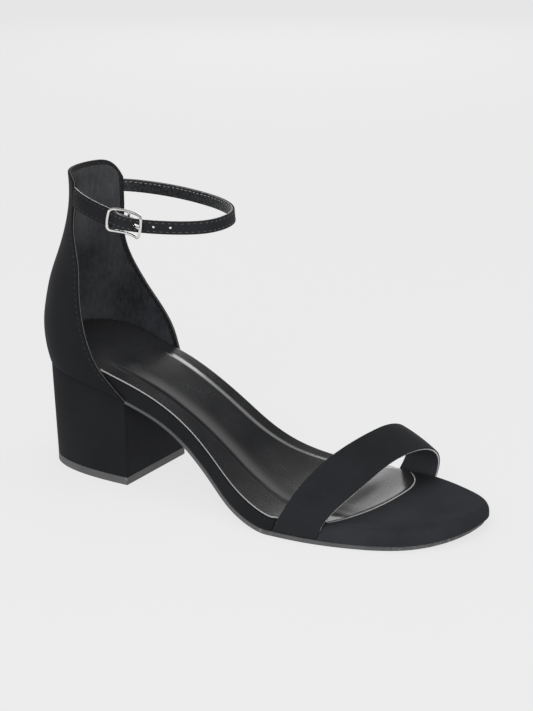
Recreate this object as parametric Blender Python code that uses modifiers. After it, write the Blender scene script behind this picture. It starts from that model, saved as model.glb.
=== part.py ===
"""A right block heel sandal: open toe, closed back, buckled ankle strap.

Sizes are in millimetres until a vertex is placed. X runs from the heel to the toe, +Y is the
medial side and Z is up. The tables count X from the back of the heel seat and Z from the floor;
the finished shoe is then moved so that its origin is under the middle of its box.
"""

import math
from collections import namedtuple

import bmesh
import bpy
import numpy as np
from mathutils import Matrix, Vector

MM = 0.001
GAP = 0.3
SOLE_GAP = 0.4

# Sole stack, from the floor up
OUTSOLE = 2.1
SHANK_SOLE = 1.3
SHANK_RUN = (60.0, 125.0)
BOARD = 4.8
SOCK = 0.8
BED = 0.4
WRAP = 1.5
TREAD_START = 163.0
BALL = 150.0
TREAD_END = 208.0
TOE_SPRING = 3.2
BOARD_TREAD = OUTSOLE + SOLE_GAP + BOARD

# Outline of the wrapped board: ellipse arcs at heel and toe, a drawn waist between them;
# the lateral toe is fuller than an ellipse
HEEL_BACK = 4.0
HEEL_CENTRE = 32.0
TIP_X = 235.2
TIP_Y = 9.5
TOE_CENTRE = {-1: 150.0, 1: 174.0}
TOE_FULLNESS = {-1: 2.3, 1: 2.0}
CORNER = math.radians(58.0)
TOE_INSET = 0.8
TIP_DRAW = 1.3
OUTSOLE_FLARE = 0.2
END_FADE = 8
WRAP_LOW = 0.15
WRAP_RAKE_START = 120.0

Waist = namedtuple("Waist", "x lateral medial")
WAIST = [
    Waist(32, 27.0, 26.8),
    Waist(52, 28.2, 27.0),
    Waist(75, 28.5, 24.0),
    Waist(98, 30.8, 21.4),
    Waist(112, 34.2, 22.2),
    Waist(126, 39.2, 27.0),
    Waist(142, 44.2, 35.2),
    Waist(150, 45.4, 38.9),
    Waist(174, 45.4, 45.2),
]

Pitch = namedtuple("Pitch", "x top")
PITCH = [
    Pitch(4, 60.4),
    Pitch(25, 59.4),
    Pitch(50, 55.4),
    Pitch(75, 47.7),
    Pitch(100, 35.0),
    Pitch(125, 18.4),
    Pitch(145, 10.1),
    Pitch(TREAD_START, BOARD_TREAD),
]

# Underside of the outsole, from the heel's breast to the ball
Under = namedtuple("Under", "x low")
UNDER = [
    Under(58, 43.4),
    Under(78, 36.6),
    Under(93, 28.5),
    Under(103, 21.4),
    Under(112, 14.5),
    Under(122, 7.4),
    Under(131, 3.4),
    Under(140, 1.0),
    Under(BALL, 0.0),
]
SEAT_DEPTH = 5.6

# Sock: front end as two ellipse arcs, a raised cushion inside a pressed margin
SOCK_TIP = 189.0
SOCK_CENTRE = (164.0, 20.0)
SOCK_REACH = {-1: 64.0, 1: 27.0}
SOCK_INSET = 0.5
SOCK_NARROW = {-1: (151.3, 154.2), 1: (168.0, 171.0)}
CUSHION = 1.6
Shoulder = namedtuple("Shoulder", "start full")
SEAT_SHOULDER = {-1: Shoulder(8.3, 11.3), 1: Shoulder(7.2, 13.4)}
BALL_SHOULDER = {-1: Shoulder(16.5, 19.5), 1: Shoulder(7.2, 13.4)}
SHOULDER_CROWN = {-1: 9.5, 1: 0.0}
SHOULDER_SPREAD = (85.0, 140.0)
CUSHION_FRONT = Shoulder(0.0, 24.0)
CUSHION_BACK = Shoulder(38.0, 54.0)
SEAT_PAD = 4.6
SEAT_PAD_RUN = (10.0, 52.0)
SEAT_FLARE = 1.4
SEAT_FLARE_RUN = (32.0, 44.0)

# Toe cover over the front of the board
COVER_TOP = 0.7
COVER_EDGE = 4.5
COVER_CROWN = 1.3
COVER_REACH = 0.9
BOARD_TOE_INSET = 4.0
BOARD_TOE_RUN = 8.0

# Toe band: its rear and front edges, each an arch from foot to foot
Arch = namedtuple("Arch", "lateral_x medial_x bow height power skew toe_in swell")
BAND_REAR = Arch(154.7, 172.0, 18.4, 34.6, 2.04, 7.7, 5.0, -2.0)
BAND_FRONT = Arch(177.1, 192.8, 8.8, 23.8, 2.13, 8.7, 0.0, 2.6)
BAND_RAKE = 0.45
BAND_CROWN = 0.6
BAND_SIDE = 0.05

# Heel
LIFT = 3.8
BREAST = 58.4
HEEL_BASE_BACK = 2.6
HEEL_BASE_HALF = {-1: 27.0, 1: 24.6}
HEEL_TOP_BACK = 0.4
HEEL_TOP_HALF = {-1: 28.8, 1: 27.0}
HEEL_POWER = 2.5
HEEL_FLAT = 0.02

# Counter: the outer wall at each height
COUNTER_WALL = 1.8
Cup = namedtuple("Cup", "z back depth half lateral_front medial_front")
CUP = [
    Cup(42, 3.2, 31.0, 30.4, 62.6, 57.0),
    Cup(52, 1.6, 32.0, 30.5, 51.0, 53.4),
    Cup(58, -0.5, 32.5, 30.5, 45.0, 51.6),
    Cup(66, -2.3, 33.0, 30.6, 40.1, 48.5),
    Cup(76, -2.5, 33.0, 30.8, 36.8, 41.5),
    Cup(86, -0.8, 33.0, 31.0, 35.1, 32.9),
    Cup(98, 2.4, 32.5, 31.0, 34.4, 25.6),
    Cup(112, 7.9, 31.5, 30.3, 32.9, 23.1),
    Cup(126, 12.5, 30.0, 29.3, 27.9, 24.7),
    Cup(140, 14.7, 28.5, 28.0, 27.3, 25.6),
    Cup(156, 14.0, 29.4, 28.4, 27.6, 25.2),
]
RIM = 151.8
RimCorner = namedtuple("RimCorner", "drop start power")
RIM_CORNER = {-1: RimCorner(3.0, 0.7, 1.5), 1: RimCorner(9.5, 0.35, 4.0)}

# Ankle strap and tab: one route round the ankle, y left out where it lies on the counter
STRAP_WIDTH = 6.2
STRAP = 1.6
TAIL_TIP = 4.0
TAIL_BLUNT = 0.35
TabEdge = namedtuple("TabEdge", "rise drop")
TAB_ROOT = TabEdge(4.2, 4.8)
TAB_FRONT = TabEdge(3.5, 4.9)
TAB_LOOP = TabEdge(2.3, 2.3)
TAB_TAPER = (2.5, 8.0)
TAB_ROOT_RUN = 10.0
TAB = 1.3
LEAN = math.radians(5.0)
ROOT_GAP = 0.8
Stop = namedtuple("Stop", "x y z")
ROUTE = [
    Stop(28.4, -1, 141.8),
    Stop(36.0, -27.6, 141.1),
    Stop(42.4, -30.0, 140.1),
    Stop(53.2, -32.4, 138.4),
    Stop(67.0, -33.4, 136.2),
    Stop(76.0, -32.0, 135.4),
    Stop(88.2, -26.2, 134.8),
    Stop(97.2, -16.8, 134.3),
    Stop(100.1, -4.5, 134.0),
    Stop(96.6, 10.5, 134.2),
    Stop(86.0, 20.2, 134.8),
    Stop(70.0, 26.0, 135.5),
    Stop(52.0, 28.2, 136.3),
    Stop(37.0, 27.0, 136.9),
    Stop(26.0, 1, 137.4),
    Stop(20.0, 1, 138.0),
    Stop(17.5, 1, 138.3),
]
BUCKLE_STOP = 4
ROUTE_LOOK = 1.5

# Buckle, in its own frame: t along the strap to the front, n outwards
WIRE = 0.7
FRAME_HALF_LENGTH = 8.4
FRAME_HALF_WIDTH = 5.2
FRAME_CORNER = 1.6
FRAME_BOW = 0.7
FRAME_STEP = 2.2
BAR_OUT = 0.6
FRAME_ARCH = 3.8
PRONG = 0.5
PRONG_LOOP = WIRE + GAP + PRONG
Fold = namedtuple("Fold", "t n")
TAB_FOLD = [
    Fold(-12.0, 0.7),
    Fold(-8.5, 0.75),
    Fold(-5.0, 0.9),
    Fold(-2.5, 1.6),
    Fold(0.0, 2.3),
    Fold(1.45, 1.6),
    Fold(1.8, 0.6),
    Fold(1.3, -0.6),
    Fold(0.0, -1.1),
    Fold(-3.0, -1.15),
    Fold(-6.0, -1.05),
    Fold(-9.0, -1.0),
    Fold(-14.0, -1.0),
]
STRAP_LIFT = [
    Fold(-11.5, 2.55),
    Fold(-8.2, 2.55),
    Fold(-4.2, 3.2),
    Fold(0.0, 4.1),
    Fold(4.2, 3.3),
    Fold(8.2, 2.3),
    Fold(14.0, 1.3),
    Fold(24.0, 0.8),
    Fold(40.0, 0.8),
]
PRONG_TONGUE = [Fold(2.5, 1.2), Fold(3.9, 1.3), Fold(5.0, 2.6), Fold(6.4, 4.45), Fold(9.0, 6.05)]
HOLE_PITCH = 7.7
PRONG_HOLE = 5.2
HOLES_FROM_PRONG = (-1, 0, 1, 2)
HOLE_RADIUS = 0.6
PRONG_HOLE_RADIUS = 0.8
HOLE_DEPTH = 5.4
PRONG_HOLE_STRETCH = 2.3
SLOT_WIDTH = 2.2
SLOT_BACK = 3.4
SLOT_FRONT = 4.0
SLOT_DEPTH = 9.0

COLOURS = {
    "top_lift": ((0.09, 0.09, 0.095), 0.7, 0.0),
    "heel_block": ((0.012, 0.012, 0.013), 0.85, 0.0),
    "outsole": ((0.085, 0.086, 0.09), 0.65, 0.0),
    "insole_board": ((0.03, 0.03, 0.03), 0.8, 0.0),
    "edge_wrap": ((0.012, 0.012, 0.013), 0.85, 0.0),
    "toe_cover": ((0.014, 0.014, 0.015), 0.85, 0.0),
    "insole_sock": ((0.02, 0.02, 0.022), 0.4, 0.0),
    "toe_band": ((0.013, 0.013, 0.014), 0.85, 0.0),
    "heel_counter": ((0.012, 0.012, 0.013), 0.85, 0.0),
    "ankle_strap": ((0.013, 0.013, 0.014), 0.8, 0.0),
    "buckle_tab": ((0.013, 0.013, 0.014), 0.8, 0.0),
    "buckle_frame": ((0.75, 0.75, 0.74), 0.2, 1.0),
    "buckle_prong": ((0.75, 0.75, 0.74), 0.2, 1.0),
}


def spline(xs, ys, start=None, end=None):
    """A cubic spline through the points. An end with no given slope is left free."""
    xs = np.asarray(xs, float)
    ys = np.asarray(ys, float)
    count = len(xs)
    step = np.diff(xs)
    rise = np.diff(ys) / step
    left = np.zeros((count, count))
    right = np.zeros(count)
    for i in range(1, count - 1):
        left[i, i - 1 : i + 2] = (1 / step[i - 1], 2 / step[i - 1] + 2 / step[i], 1 / step[i])
        right[i] = 3 * (rise[i - 1] / step[i - 1] + rise[i] / step[i])
    left[0, :2], right[0] = ((2, 1), 3 * rise[0]) if start is None else ((1, 0), start)
    left[-1, -2:], right[-1] = ((1, 2), 3 * rise[-1]) if end is None else ((0, 1), end)
    slope = np.linalg.solve(left, right)

    def value(x):
        i = min(max(int(np.searchsorted(xs, x)) - 1, 0), count - 2)
        t = (x - xs[i]) / step[i]
        h = step[i]
        return (
            (1 + 2 * t) * (1 - t) ** 2 * ys[i]
            + t * (1 - t) ** 2 * h * slope[i]
            + t * t * (3 - 2 * t) * ys[i + 1]
            - t * t * (1 - t) * h * slope[i + 1]
        )

    return value


def ease(x, low, high):
    """0 below low, 1 above high, smooth between them."""
    t = min(max((x - low) / (high - low), 0.0), 1.0)
    return t * t * (3 - 2 * t)


def lerp(a, b, t):
    return a + (b - a) * t


# The last: pitch of the board's top, and the outline of the wrapped board

pitch_line = spline([r.x for r in PITCH], [r.top for r in PITCH], end=0.0)
under_line = spline([r.x for r in UNDER], [r.low for r in UNDER], end=0.0)
waist_line = {
    -1: spline([r.x for r in WAIST[:-1]], [r.lateral for r in WAIST[:-1]], 0.0, 0.0),
    1: spline([r.x for r in WAIST], [r.medial for r in WAIST], 0.0, 0.0),
}


def board_top(x):
    if x < TREAD_START:
        return pitch_line(x)
    return BOARD_TREAD + toe_lift(x)


def toe_lift(x):
    return TOE_SPRING * (max(x - TREAD_END, 0.0) / (TIP_X - TREAD_END)) ** 2


def outsole_low(x):
    return under_line(x) if x < BALL else toe_lift(x)


def outsole_top(x):
    """The outsole is as thick square to its slope as on the tread."""
    slope = outsole_low(x + 0.5) - outsole_low(x - 0.5)
    thickness = lerp(SHANK_SOLE, OUTSOLE, ease(x, *SHANK_RUN))
    return outsole_low(x) + thickness * math.hypot(1.0, slope)


def board_low(x):
    """Underside of the board: on the outsole, and on the heel behind its breast."""
    front = outsole_top(max(x, BREAST)) + SOLE_GAP
    seat = board_top(x) - SEAT_DEPTH
    at_breast = board_top(BREAST) - SEAT_DEPTH
    return front if x > BREAST else seat + (front - at_breast) * ease(x, 0.0, BREAST)


def side_edge(x, side, inset=0.0):
    """Signed y of the outline at x, between the heel's and the toe's arcs and round them."""
    if x < HEEL_CENTRE:
        long = HEEL_CENTRE - HEEL_BACK - inset
        half = waist_line[side](HEEL_CENTRE) - inset
        return side * half * math.sqrt(max(1 - ((HEEL_CENTRE - x) / long) ** 2, 0.0))
    centre = TOE_CENTRE[side]
    if x < centre:
        return side * (waist_line[side](x) - inset)
    long = TIP_X - centre - inset
    half = waist_line[side](centre) - side * TIP_Y - inset
    power = TOE_FULLNESS[side]
    return TIP_Y + side * half * max(1 - ((x - centre) / long) ** power, 0.0) ** (1 / power)


def toe_point(angle, inset=0.0):
    """Outline round the toe: angle 0 at the tip, below 0 on the lateral side."""
    side = 1 if angle > 0 else -1
    centre = TOE_CENTRE[side]
    half = waist_line[side](centre) - side * TIP_Y - inset
    power = 2 / TOE_FULLNESS[side]
    x = centre + (TIP_X - centre - inset) * math.cos(angle) ** power
    return np.array((x, TIP_Y + side * half * abs(math.sin(angle)) ** power))


def heel_point(angle, inset=0.0):
    """Outline round the heel: angle 0 at the back, below 0 on the lateral side."""
    side = 1 if angle > 0 else -1
    half = waist_line[side](HEEL_CENTRE) - inset
    x = HEEL_CENTRE - (HEEL_CENTRE - HEEL_BACK - inset) * math.cos(angle)
    return np.array((x, half * math.sin(angle)))


def patch(lateral, medial, rear, front):
    """A plan patch between four edges: u runs heel to toe, v lateral to medial.

    The bulge of each end fades quickly, so that the lines across are straight between them.
    """

    def place(u, v):
        bulges = [end(v) - lerp(end(0), end(1), v) for end in (rear, front)]
        return lerp(lateral(u), medial(u), v) + bulges[0] * (1 - u) ** END_FADE + bulges[1] * u**END_FADE

    return place


def side_run(side, start, end, inset):
    """One side of the outline as a function of u, from x start to x end. inset depends on x and side."""

    def point(u):
        x = lerp(start, end, u)
        return np.array((x, side_edge(x, side, inset(x, side))))

    return point


# Making meshes


def finish(name, bm):
    """A new object from a mesh, in the shoe's collection, with its own material."""
    mesh = bpy.data.meshes.new(name)
    bm.to_mesh(mesh)
    bm.free()
    return dress(bpy.data.objects.new(name, mesh))


def dress(obj):
    colour, roughness, metallic = COLOURS[obj.name]
    material = bpy.data.materials.new(obj.name)
    material.use_nodes = True
    shader = material.node_tree.nodes["Principled BSDF"]
    shader.inputs["Base Color"].default_value = (*colour, 1.0)
    shader.inputs["Roughness"].default_value = roughness
    shader.inputs["Metallic"].default_value = metallic
    material.diffuse_color = (*colour, 1.0)
    obj.data.materials.append(material)
    obj.data.shade_smooth()
    obj.data.set_sharp_from_angle(angle=math.radians(40))
    shoe.objects.link(obj)
    obj.parent = stand
    return obj


def grid(along, across, place):
    """A grid of faces, each point placed by its u and v from 0 to 1."""
    bm = bmesh.new()
    bmesh.ops.create_grid(bm, x_segments=along, y_segments=across, size=0.5)
    for vert in bm.verts:
        vert.co = Vector(place(vert.co.x + 0.5, vert.co.y + 0.5)) * MM
    bmesh.ops.recalc_face_normals(bm, faces=bm.faces)
    return bm


def solid(name, along, across, lower, upper):
    """A solid between two placed grids: the lower one is extruded and becomes the upper one."""
    bm = bmesh.new()
    bmesh.ops.create_grid(bm, x_segments=along, y_segments=across, size=0.5)
    made = bmesh.ops.extrude_face_region(bm, geom=list(bm.faces))["geom"]
    lifted = {item for item in made if isinstance(item, bmesh.types.BMVert)}
    for vert in bm.verts:
        place = upper if vert in lifted else lower
        vert.co = Vector(place(vert.co.x + 0.5, vert.co.y + 0.5)) * MM
    bmesh.ops.recalc_face_normals(bm, faces=bm.faces)
    return finish(name, bm)


def shell(name, along, across, place, thickness, inwards):
    """A wall from an open surface. inwards is a direction in which its inner side looks at v 0.5."""
    bm = grid(along, across, place)
    bm.faces.ensure_lookup_table()
    probe = bm.faces[len(bm.faces) // 2]
    toward = Vector(inwards(probe.calc_center_median() / MM))
    if probe.normal.dot(toward) > 0:
        bmesh.ops.reverse_faces(bm, faces=bm.faces)
    obj = finish(name, bm)
    wall = obj.modifiers.new("wall", "SOLIDIFY")
    wall.thickness = thickness * MM
    wall.offset = -1.0
    wall.use_even_offset = True
    return obj


# Sole


def at_height(plan, height):
    """Places a plan patch at a height that depends on x and y."""

    def place(u, v):
        x, y = plan(u, v)
        return (x, y, height(x, y))

    return place


def make_board():
    """It is drawn in under the toe, where the cover rolls over its edge."""
    inset = WRAP + 2 * GAP
    heel_end = heel_point(CORNER, inset)[0]
    toe_end = {s: toe_point(s * CORNER, BOARD_TOE_INSET)[0] for s in (-1, 1)}

    def trim(x, side):
        foot = band_foot(BAND_FRONT, side)
        return lerp(inset, BOARD_TOE_INSET, ease(x, foot - BOARD_TOE_RUN, foot))

    plan = patch(
        side_run(-1, heel_end, toe_end[-1], trim),
        side_run(1, heel_end, toe_end[1], trim),
        lambda v: heel_point(lerp(-CORNER, CORNER, v), inset),
        lambda v: toe_point(lerp(-CORNER, CORNER, v), BOARD_TOE_INSET),
    )
    solid(
        "insole_board",
        36,
        8,
        at_height(plan, lambda x, y: board_low(x)),
        at_height(plan, lambda x, y: board_top(x)),
    )


def make_outsole():
    """It stands out a little at the sides and is drawn in under the toe."""
    toe_end = {s: toe_point(s * CORNER, TOE_INSET)[0] for s in (-1, 1)}
    start = BREAST + GAP

    def trim(x, side):
        return lerp(-OUTSOLE_FLARE, TOE_INSET, ease(x, TREAD_START, toe_end[side]))

    ends = [side_edge(start, side, -OUTSOLE_FLARE) for side in (-1, 1)]
    plan = patch(
        side_run(-1, start, toe_end[-1], trim),
        side_run(1, start, toe_end[1], trim),
        lambda v: np.array((start, lerp(ends[0], ends[1], v))),
        lambda v: toe_point(lerp(-CORNER, CORNER, v), TOE_INSET + TIP_DRAW * 4 * v * (1 - v)),
    )
    solid(
        "outsole",
        34,
        8,
        at_height(plan, lambda x, y: outsole_low(x)),
        at_height(plan, lambda x, y: outsole_top(x)),
    )


def make_edge_wrap():
    """A strip round the board's side, from the band's rear edge round the heel to the band."""
    ends = {s: band_foot(BAND_REAR, s) - 2 * GAP for s in (-1, 1)}
    heel_x = heel_point(CORNER)[0]
    legs = {s: ends[s] - heel_x for s in (-1, 1)}
    arc = 2 * CORNER * (HEEL_CENTRE - HEEL_BACK)
    total = legs[-1] + arc + legs[1]

    def point(u):
        run = u * total
        if run < legs[-1]:
            x = ends[-1] - run
            return np.array((x, side_edge(x, -1)))
        if run > legs[-1] + arc:
            x = heel_x + run - legs[-1] - arc
            return np.array((x, side_edge(x, 1)))
        return heel_point(lerp(-CORNER, CORNER, (run - legs[-1]) / arc))

    def place(u, v):
        x, y = point(u)
        side = math.copysign(1, y)
        if x > WRAP_RAKE_START:
            x -= BAND_RAKE * BOARD * (1 - v) * ease(x, WRAP_RAKE_START, ends[side])
            y = side_edge(x, side)
        return (x, y, lerp(board_low(x), board_top(x) - WRAP_LOW, v))

    shell("edge_wrap", 82, 1, place, WRAP, lambda at: (HEEL_CENTRE + 40 - at.x, -at.y, 0))


def sock_front(angle, margin=0.0):
    """Front end of the sock: angle 0 at its tip, below 0 on the lateral side."""
    side = 1 if angle > 0 else -1
    x = SOCK_CENTRE[0] + (SOCK_TIP - SOCK_CENTRE[0] + margin) * math.cos(angle)
    y = SOCK_CENTRE[1] + (SOCK_REACH[side] + margin) * math.sin(angle)
    return np.array((x, y))


def sock_inset(x, side):
    """The sock fills the counter, is as wide as the board, and narrower between the band's feet."""
    seat = lerp(-SEAT_FLARE, SOCK_INSET, ease(x, *SEAT_FLARE_RUN))
    return lerp(seat, WRAP + 2 * GAP, ease(x, *SOCK_NARROW[side]))


def sock_corner(side):
    """Angle round the sock's front end where it meets the side of the outline."""
    low, high = 0.0, math.pi / 2
    for _ in range(40):
        middle = (low + high) / 2
        x, y = sock_front(side * middle)
        if abs(y) < abs(side_edge(x, side, sock_inset(x, side))):
            low = middle
        else:
            high = middle
    return side * low


def cushion(x, y):
    """Height of the padding: the cushion inside its margin, and the pad that tips the heel seat."""
    spread = ease(x, *SHOULDER_SPREAD)
    rises = [ease(SOCK_TIP - x, *CUSHION_FRONT), ease(x, *CUSHION_BACK)]
    for side in (-1, 1):
        start, full = (lerp(a, b, spread) for a, b in zip(SEAT_SHOULDER[side], BALL_SHOULDER[side]))
        inside = abs(y - side_edge(x, side))
        crowned = full + SHOULDER_CROWN[side]
        rises.append((ease(inside, start, full) + ease(inside, start, crowned)) / 2)
    return CUSHION * math.prod(rises) + SEAT_PAD * (1 - ease(x, *SEAT_PAD_RUN))


def make_sock():
    corner = {s: sock_corner(s) for s in (-1, 1)}
    heel_end = heel_point(CORNER, -SEAT_FLARE)[0]
    front_x = {s: sock_front(corner[s])[0] for s in (-1, 1)}
    plan = patch(
        side_run(-1, heel_end, front_x[-1], sock_inset),
        side_run(1, heel_end, front_x[1], sock_inset),
        lambda v: heel_point(lerp(-CORNER, CORNER, v), -SEAT_FLARE),
        lambda v: sock_front(lerp(corner[-1], corner[1], v)),
    )
    solid(
        "insole_sock",
        34,
        10,
        at_height(plan, lambda x, y: board_top(x) + BED),
        at_height(plan, lambda x, y: board_top(x) + BED + SOCK + cushion(x, y)),
    )


def make_toe_cover():
    """Top and side of the board's front in one skin, rolled over the edge."""
    sock_ends = [sock_corner(side) * COVER_REACH for side in (-1, 1)]
    side_share = 0.2
    roll_share = 0.6

    top = BED + COVER_TOP

    def rise(v):
        """Height of the side, the roll and the crown over the board's lower edge."""
        if v < side_share:
            return lerp(0.0, BOARD + top - COVER_EDGE, v / side_share)
        crown = COVER_CROWN * math.sin(math.pi * (v - side_share) / (1 - side_share))
        return BOARD + top - COVER_EDGE * (1 - math.sin(roll(v))) + crown

    def roll(v):
        return min((v - side_share) / (roll_share - side_share), 1.0) * math.pi / 2

    def end_angle(v, side):
        """The cover stops at the band's front edge, which is raked."""
        x = band_foot(BAND_FRONT, side) + GAP + BAND_RAKE * (rise(v) - BOARD)
        centre = TOE_CENTRE[side]
        return side * math.acos(((x - centre) / (TIP_X - centre)) ** (TOE_FULLNESS[side] / 2))

    def place(u, v):
        angle = lerp(end_angle(v, -1), end_angle(v, 1), u)
        edge = toe_point(angle)
        if v < side_share:
            x, y = edge
            return (x, y, board_top(x) - BOARD + rise(v))
        inward = toe_point(angle, 1.0) - edge
        x, y = edge + inward * COVER_EDGE * (1 - math.cos(roll(v)))
        if v > roll_share:
            inner = sock_front(lerp(sock_ends[0], sock_ends[1], u), GAP)
            x, y = lerp(np.array((x, y)), inner, (v - roll_share) / (1 - roll_share))
        return (x, y, board_top(x) - BOARD + rise(v))

    shell("toe_cover", 26, 10, place, COVER_TOP, lambda at: (150 - at.x, 0, -60))


# Toe band


def band_foot(arch, side):
    """X of an edge of the band where it reaches the board's top."""
    return arch.lateral_x if side < 0 else arch.medial_x


def band_point(arch, across):
    """A point of the band: across runs from the lateral foot to the medial one."""
    if across < BAND_SIDE or across > 1 - BAND_SIDE:
        side = -1 if across < 0.5 else 1
        down = 1 - min(across, 1 - across) / BAND_SIDE
        x = band_foot(arch, side) - BAND_RAKE * BOARD * down
        return np.array((x, side_edge(x, side), lerp(board_top(x), board_low(x) + GAP, down)))
    turn = math.pi * (across - BAND_SIDE) / (1 - 2 * BAND_SIDE)
    c, s = math.cos(turn), math.sin(turn)
    x = lerp(arch.lateral_x, arch.medial_x - arch.toe_in, (1 - c) / 2) + arch.bow * s
    lateral = max(c, 0.0) ** 2
    x += arch.toe_in * max(-c, 0.0) ** 2 + arch.swell * 4 * lateral * (1 - lateral)
    edge = [side_edge(band_foot(arch, side), side) for side in (-1, 1)]
    swing = math.copysign(abs(c) ** (2 / arch.power), c)
    y = sum(edge) / 2 - (edge[1] - edge[0]) / 2 * swing + arch.skew * s * s
    return np.array((x, y, BOARD_TREAD + arch.height * s ** (2 / arch.power)))


def make_toe_band():
    def place(u, v):
        arch = Arch(*(lerp(rear, front, v) for rear, front in zip(BAND_REAR, BAND_FRONT)))
        crown = BAND_CROWN * math.sin(math.pi * u) * 4 * v * (1 - v)
        return band_point(arch, u) + np.array((0.3, 0.0, 0.95)) * crown

    shell("toe_band", 40, 4, place, WRAP, lambda at: (0, -at.y, -at.z - 10))


# Heel


def heel_plan(back, half, u, v):
    """D of the heel: u runs from the back to the breast, v from lateral to medial."""
    turn = u * math.pi / 2
    reach = math.sin(turn) ** (2 / HEEL_POWER)
    x = BREAST - (BREAST - back) * max(math.cos(turn), 0.0) ** (2 / HEEL_POWER)
    return x, lerp(-half[-1] * reach, half[1] * reach, v)


def make_heel():
    def at(back, half, height):
        def place(u, v):
            x, y = heel_plan(back, half, max(u, HEEL_FLAT), v)
            return (x, y, height(x))

        return place

    base = (HEEL_BASE_BACK, HEEL_BASE_HALF)
    top = (HEEL_TOP_BACK, HEEL_TOP_HALF)
    solid("top_lift", 16, 4, at(*base, lambda x: 0.0), at(*base, lambda x: LIFT))
    solid(
        "heel_block",
        16,
        6,
        at(*base, lambda x: LIFT + GAP),
        at(*top, lambda x: board_low(x) - GAP),
    )


# Counter

cup_line = {
    name: spline([r.z for r in CUP], [getattr(r, name) for r in CUP])
    for name in ("back", "depth", "half", "lateral_front", "medial_front")
}


def cup_y(x, z):
    """Half width of the counter's outer wall at x, at height z."""
    back, depth, half = (cup_line[n](z) for n in ("back", "depth", "half"))
    share = min((back + depth - x) / depth, 1.0)
    return half * math.sqrt(max(1 - max(share, 0.0) ** 2, 0.0))


def cup_section(z, share):
    """A point on the counter's outer wall at height z: share runs lateral edge to medial edge."""
    back, depth, half = (cup_line[n](z) for n in ("back", "depth", "half"))
    centre = back + depth
    ends = {-1: cup_line["lateral_front"](z), 1: cup_line["medial_front"](z)}
    reach = {s: math.acos(min(max((centre - ends[s]) / depth, 0.0), 1.0)) for s in (-1, 1)}
    arc = [(centre - depth * math.cos(t), half * math.sin(t)) for t in np.linspace(-reach[-1], reach[1], 61)]
    lead = [(ends[-1], arc[0][1])] if ends[-1] > centre else []
    tail = [(ends[1], arc[-1][1])] if ends[1] > centre else []
    points = np.array(lead + arc + tail)
    run = np.concatenate(([0.0], np.cumsum(np.linalg.norm(np.diff(points, axis=0), axis=1))))
    return [float(np.interp(share * run[-1], run, points[:, axis])) for axis in (0, 1)]


def rim_height(share):
    """Top of the counter: level at the back, rounded at its two front corners."""
    off = 2 * share - 1
    corner = RIM_CORNER[1 if off > 0 else -1]
    turn = max(abs(off) - corner.start, 0.0) / (1 - corner.start)
    return RIM - corner.drop * turn**corner.power


def make_counter():
    def place(u, v):
        foot = board_low(HEEL_BACK)
        for _ in range(6):
            x, _side = cup_section(foot, u)
            foot = board_low(x)
        z = lerp(foot, rim_height(u), v)
        x, y = cup_section(z, u)
        return (x, y, z)

    shell("heel_counter", 30, 13, place, COUNTER_WALL, lambda at: (HEEL_CENTRE - at.x, -at.y, 0))


# Ankle strap, tab and buckle


def strap_route():
    """The route as points, with the ones on the counter set just off its wall."""
    points = []
    for stop in ROUTE:
        y = stop.y
        if abs(y) == 1:
            off = ROOT_GAP if stop.y > 0 else -(COUNTER_WALL + TAB) / 2
            y = stop.y * (cup_y(stop.x, stop.z) + off)
        points.append((stop.x, y, stop.z))
    return np.array(points)


class Route:
    """The route by its length: s is 0 at the buckle and grows towards the front and round."""

    def __init__(self):
        stops = strap_route()
        chord = np.concatenate(([0.0], np.cumsum(np.linalg.norm(np.diff(stops, axis=0), axis=1))))
        lines = [spline(chord, stops[:, axis]) for axis in range(3)]
        fine = np.linspace(0, chord[-1], 600)
        self.points = np.array([[line(t) for line in lines] for t in fine])
        run = np.concatenate(([0.0], np.cumsum(np.linalg.norm(np.diff(self.points, axis=0), axis=1))))
        self.s = run - float(np.interp(chord[BUCKLE_STOP], fine, run))
        self.start, self.end = self.s[0], self.s[-1]

    def at(self, s):
        """Origin, forward, outward and upward directions at s."""
        behind, origin, ahead = (
            np.array([np.interp(s + step, self.s, self.points[:, axis]) for axis in range(3)])
            for step in (-ROUTE_LOOK, 0.0, ROUTE_LOOK)
        )
        forward = (ahead - behind) / np.linalg.norm(ahead - behind)
        level = np.array((forward[1], -forward[0], 0.0))
        level /= np.linalg.norm(level)
        upright = np.cross(level, forward)
        upright *= math.copysign(1.0, upright[2])
        out = level * math.cos(LEAN) + upright * math.sin(LEAN)
        up = upright * math.cos(LEAN) - level * math.sin(LEAN)
        return origin, forward, out, up


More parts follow.
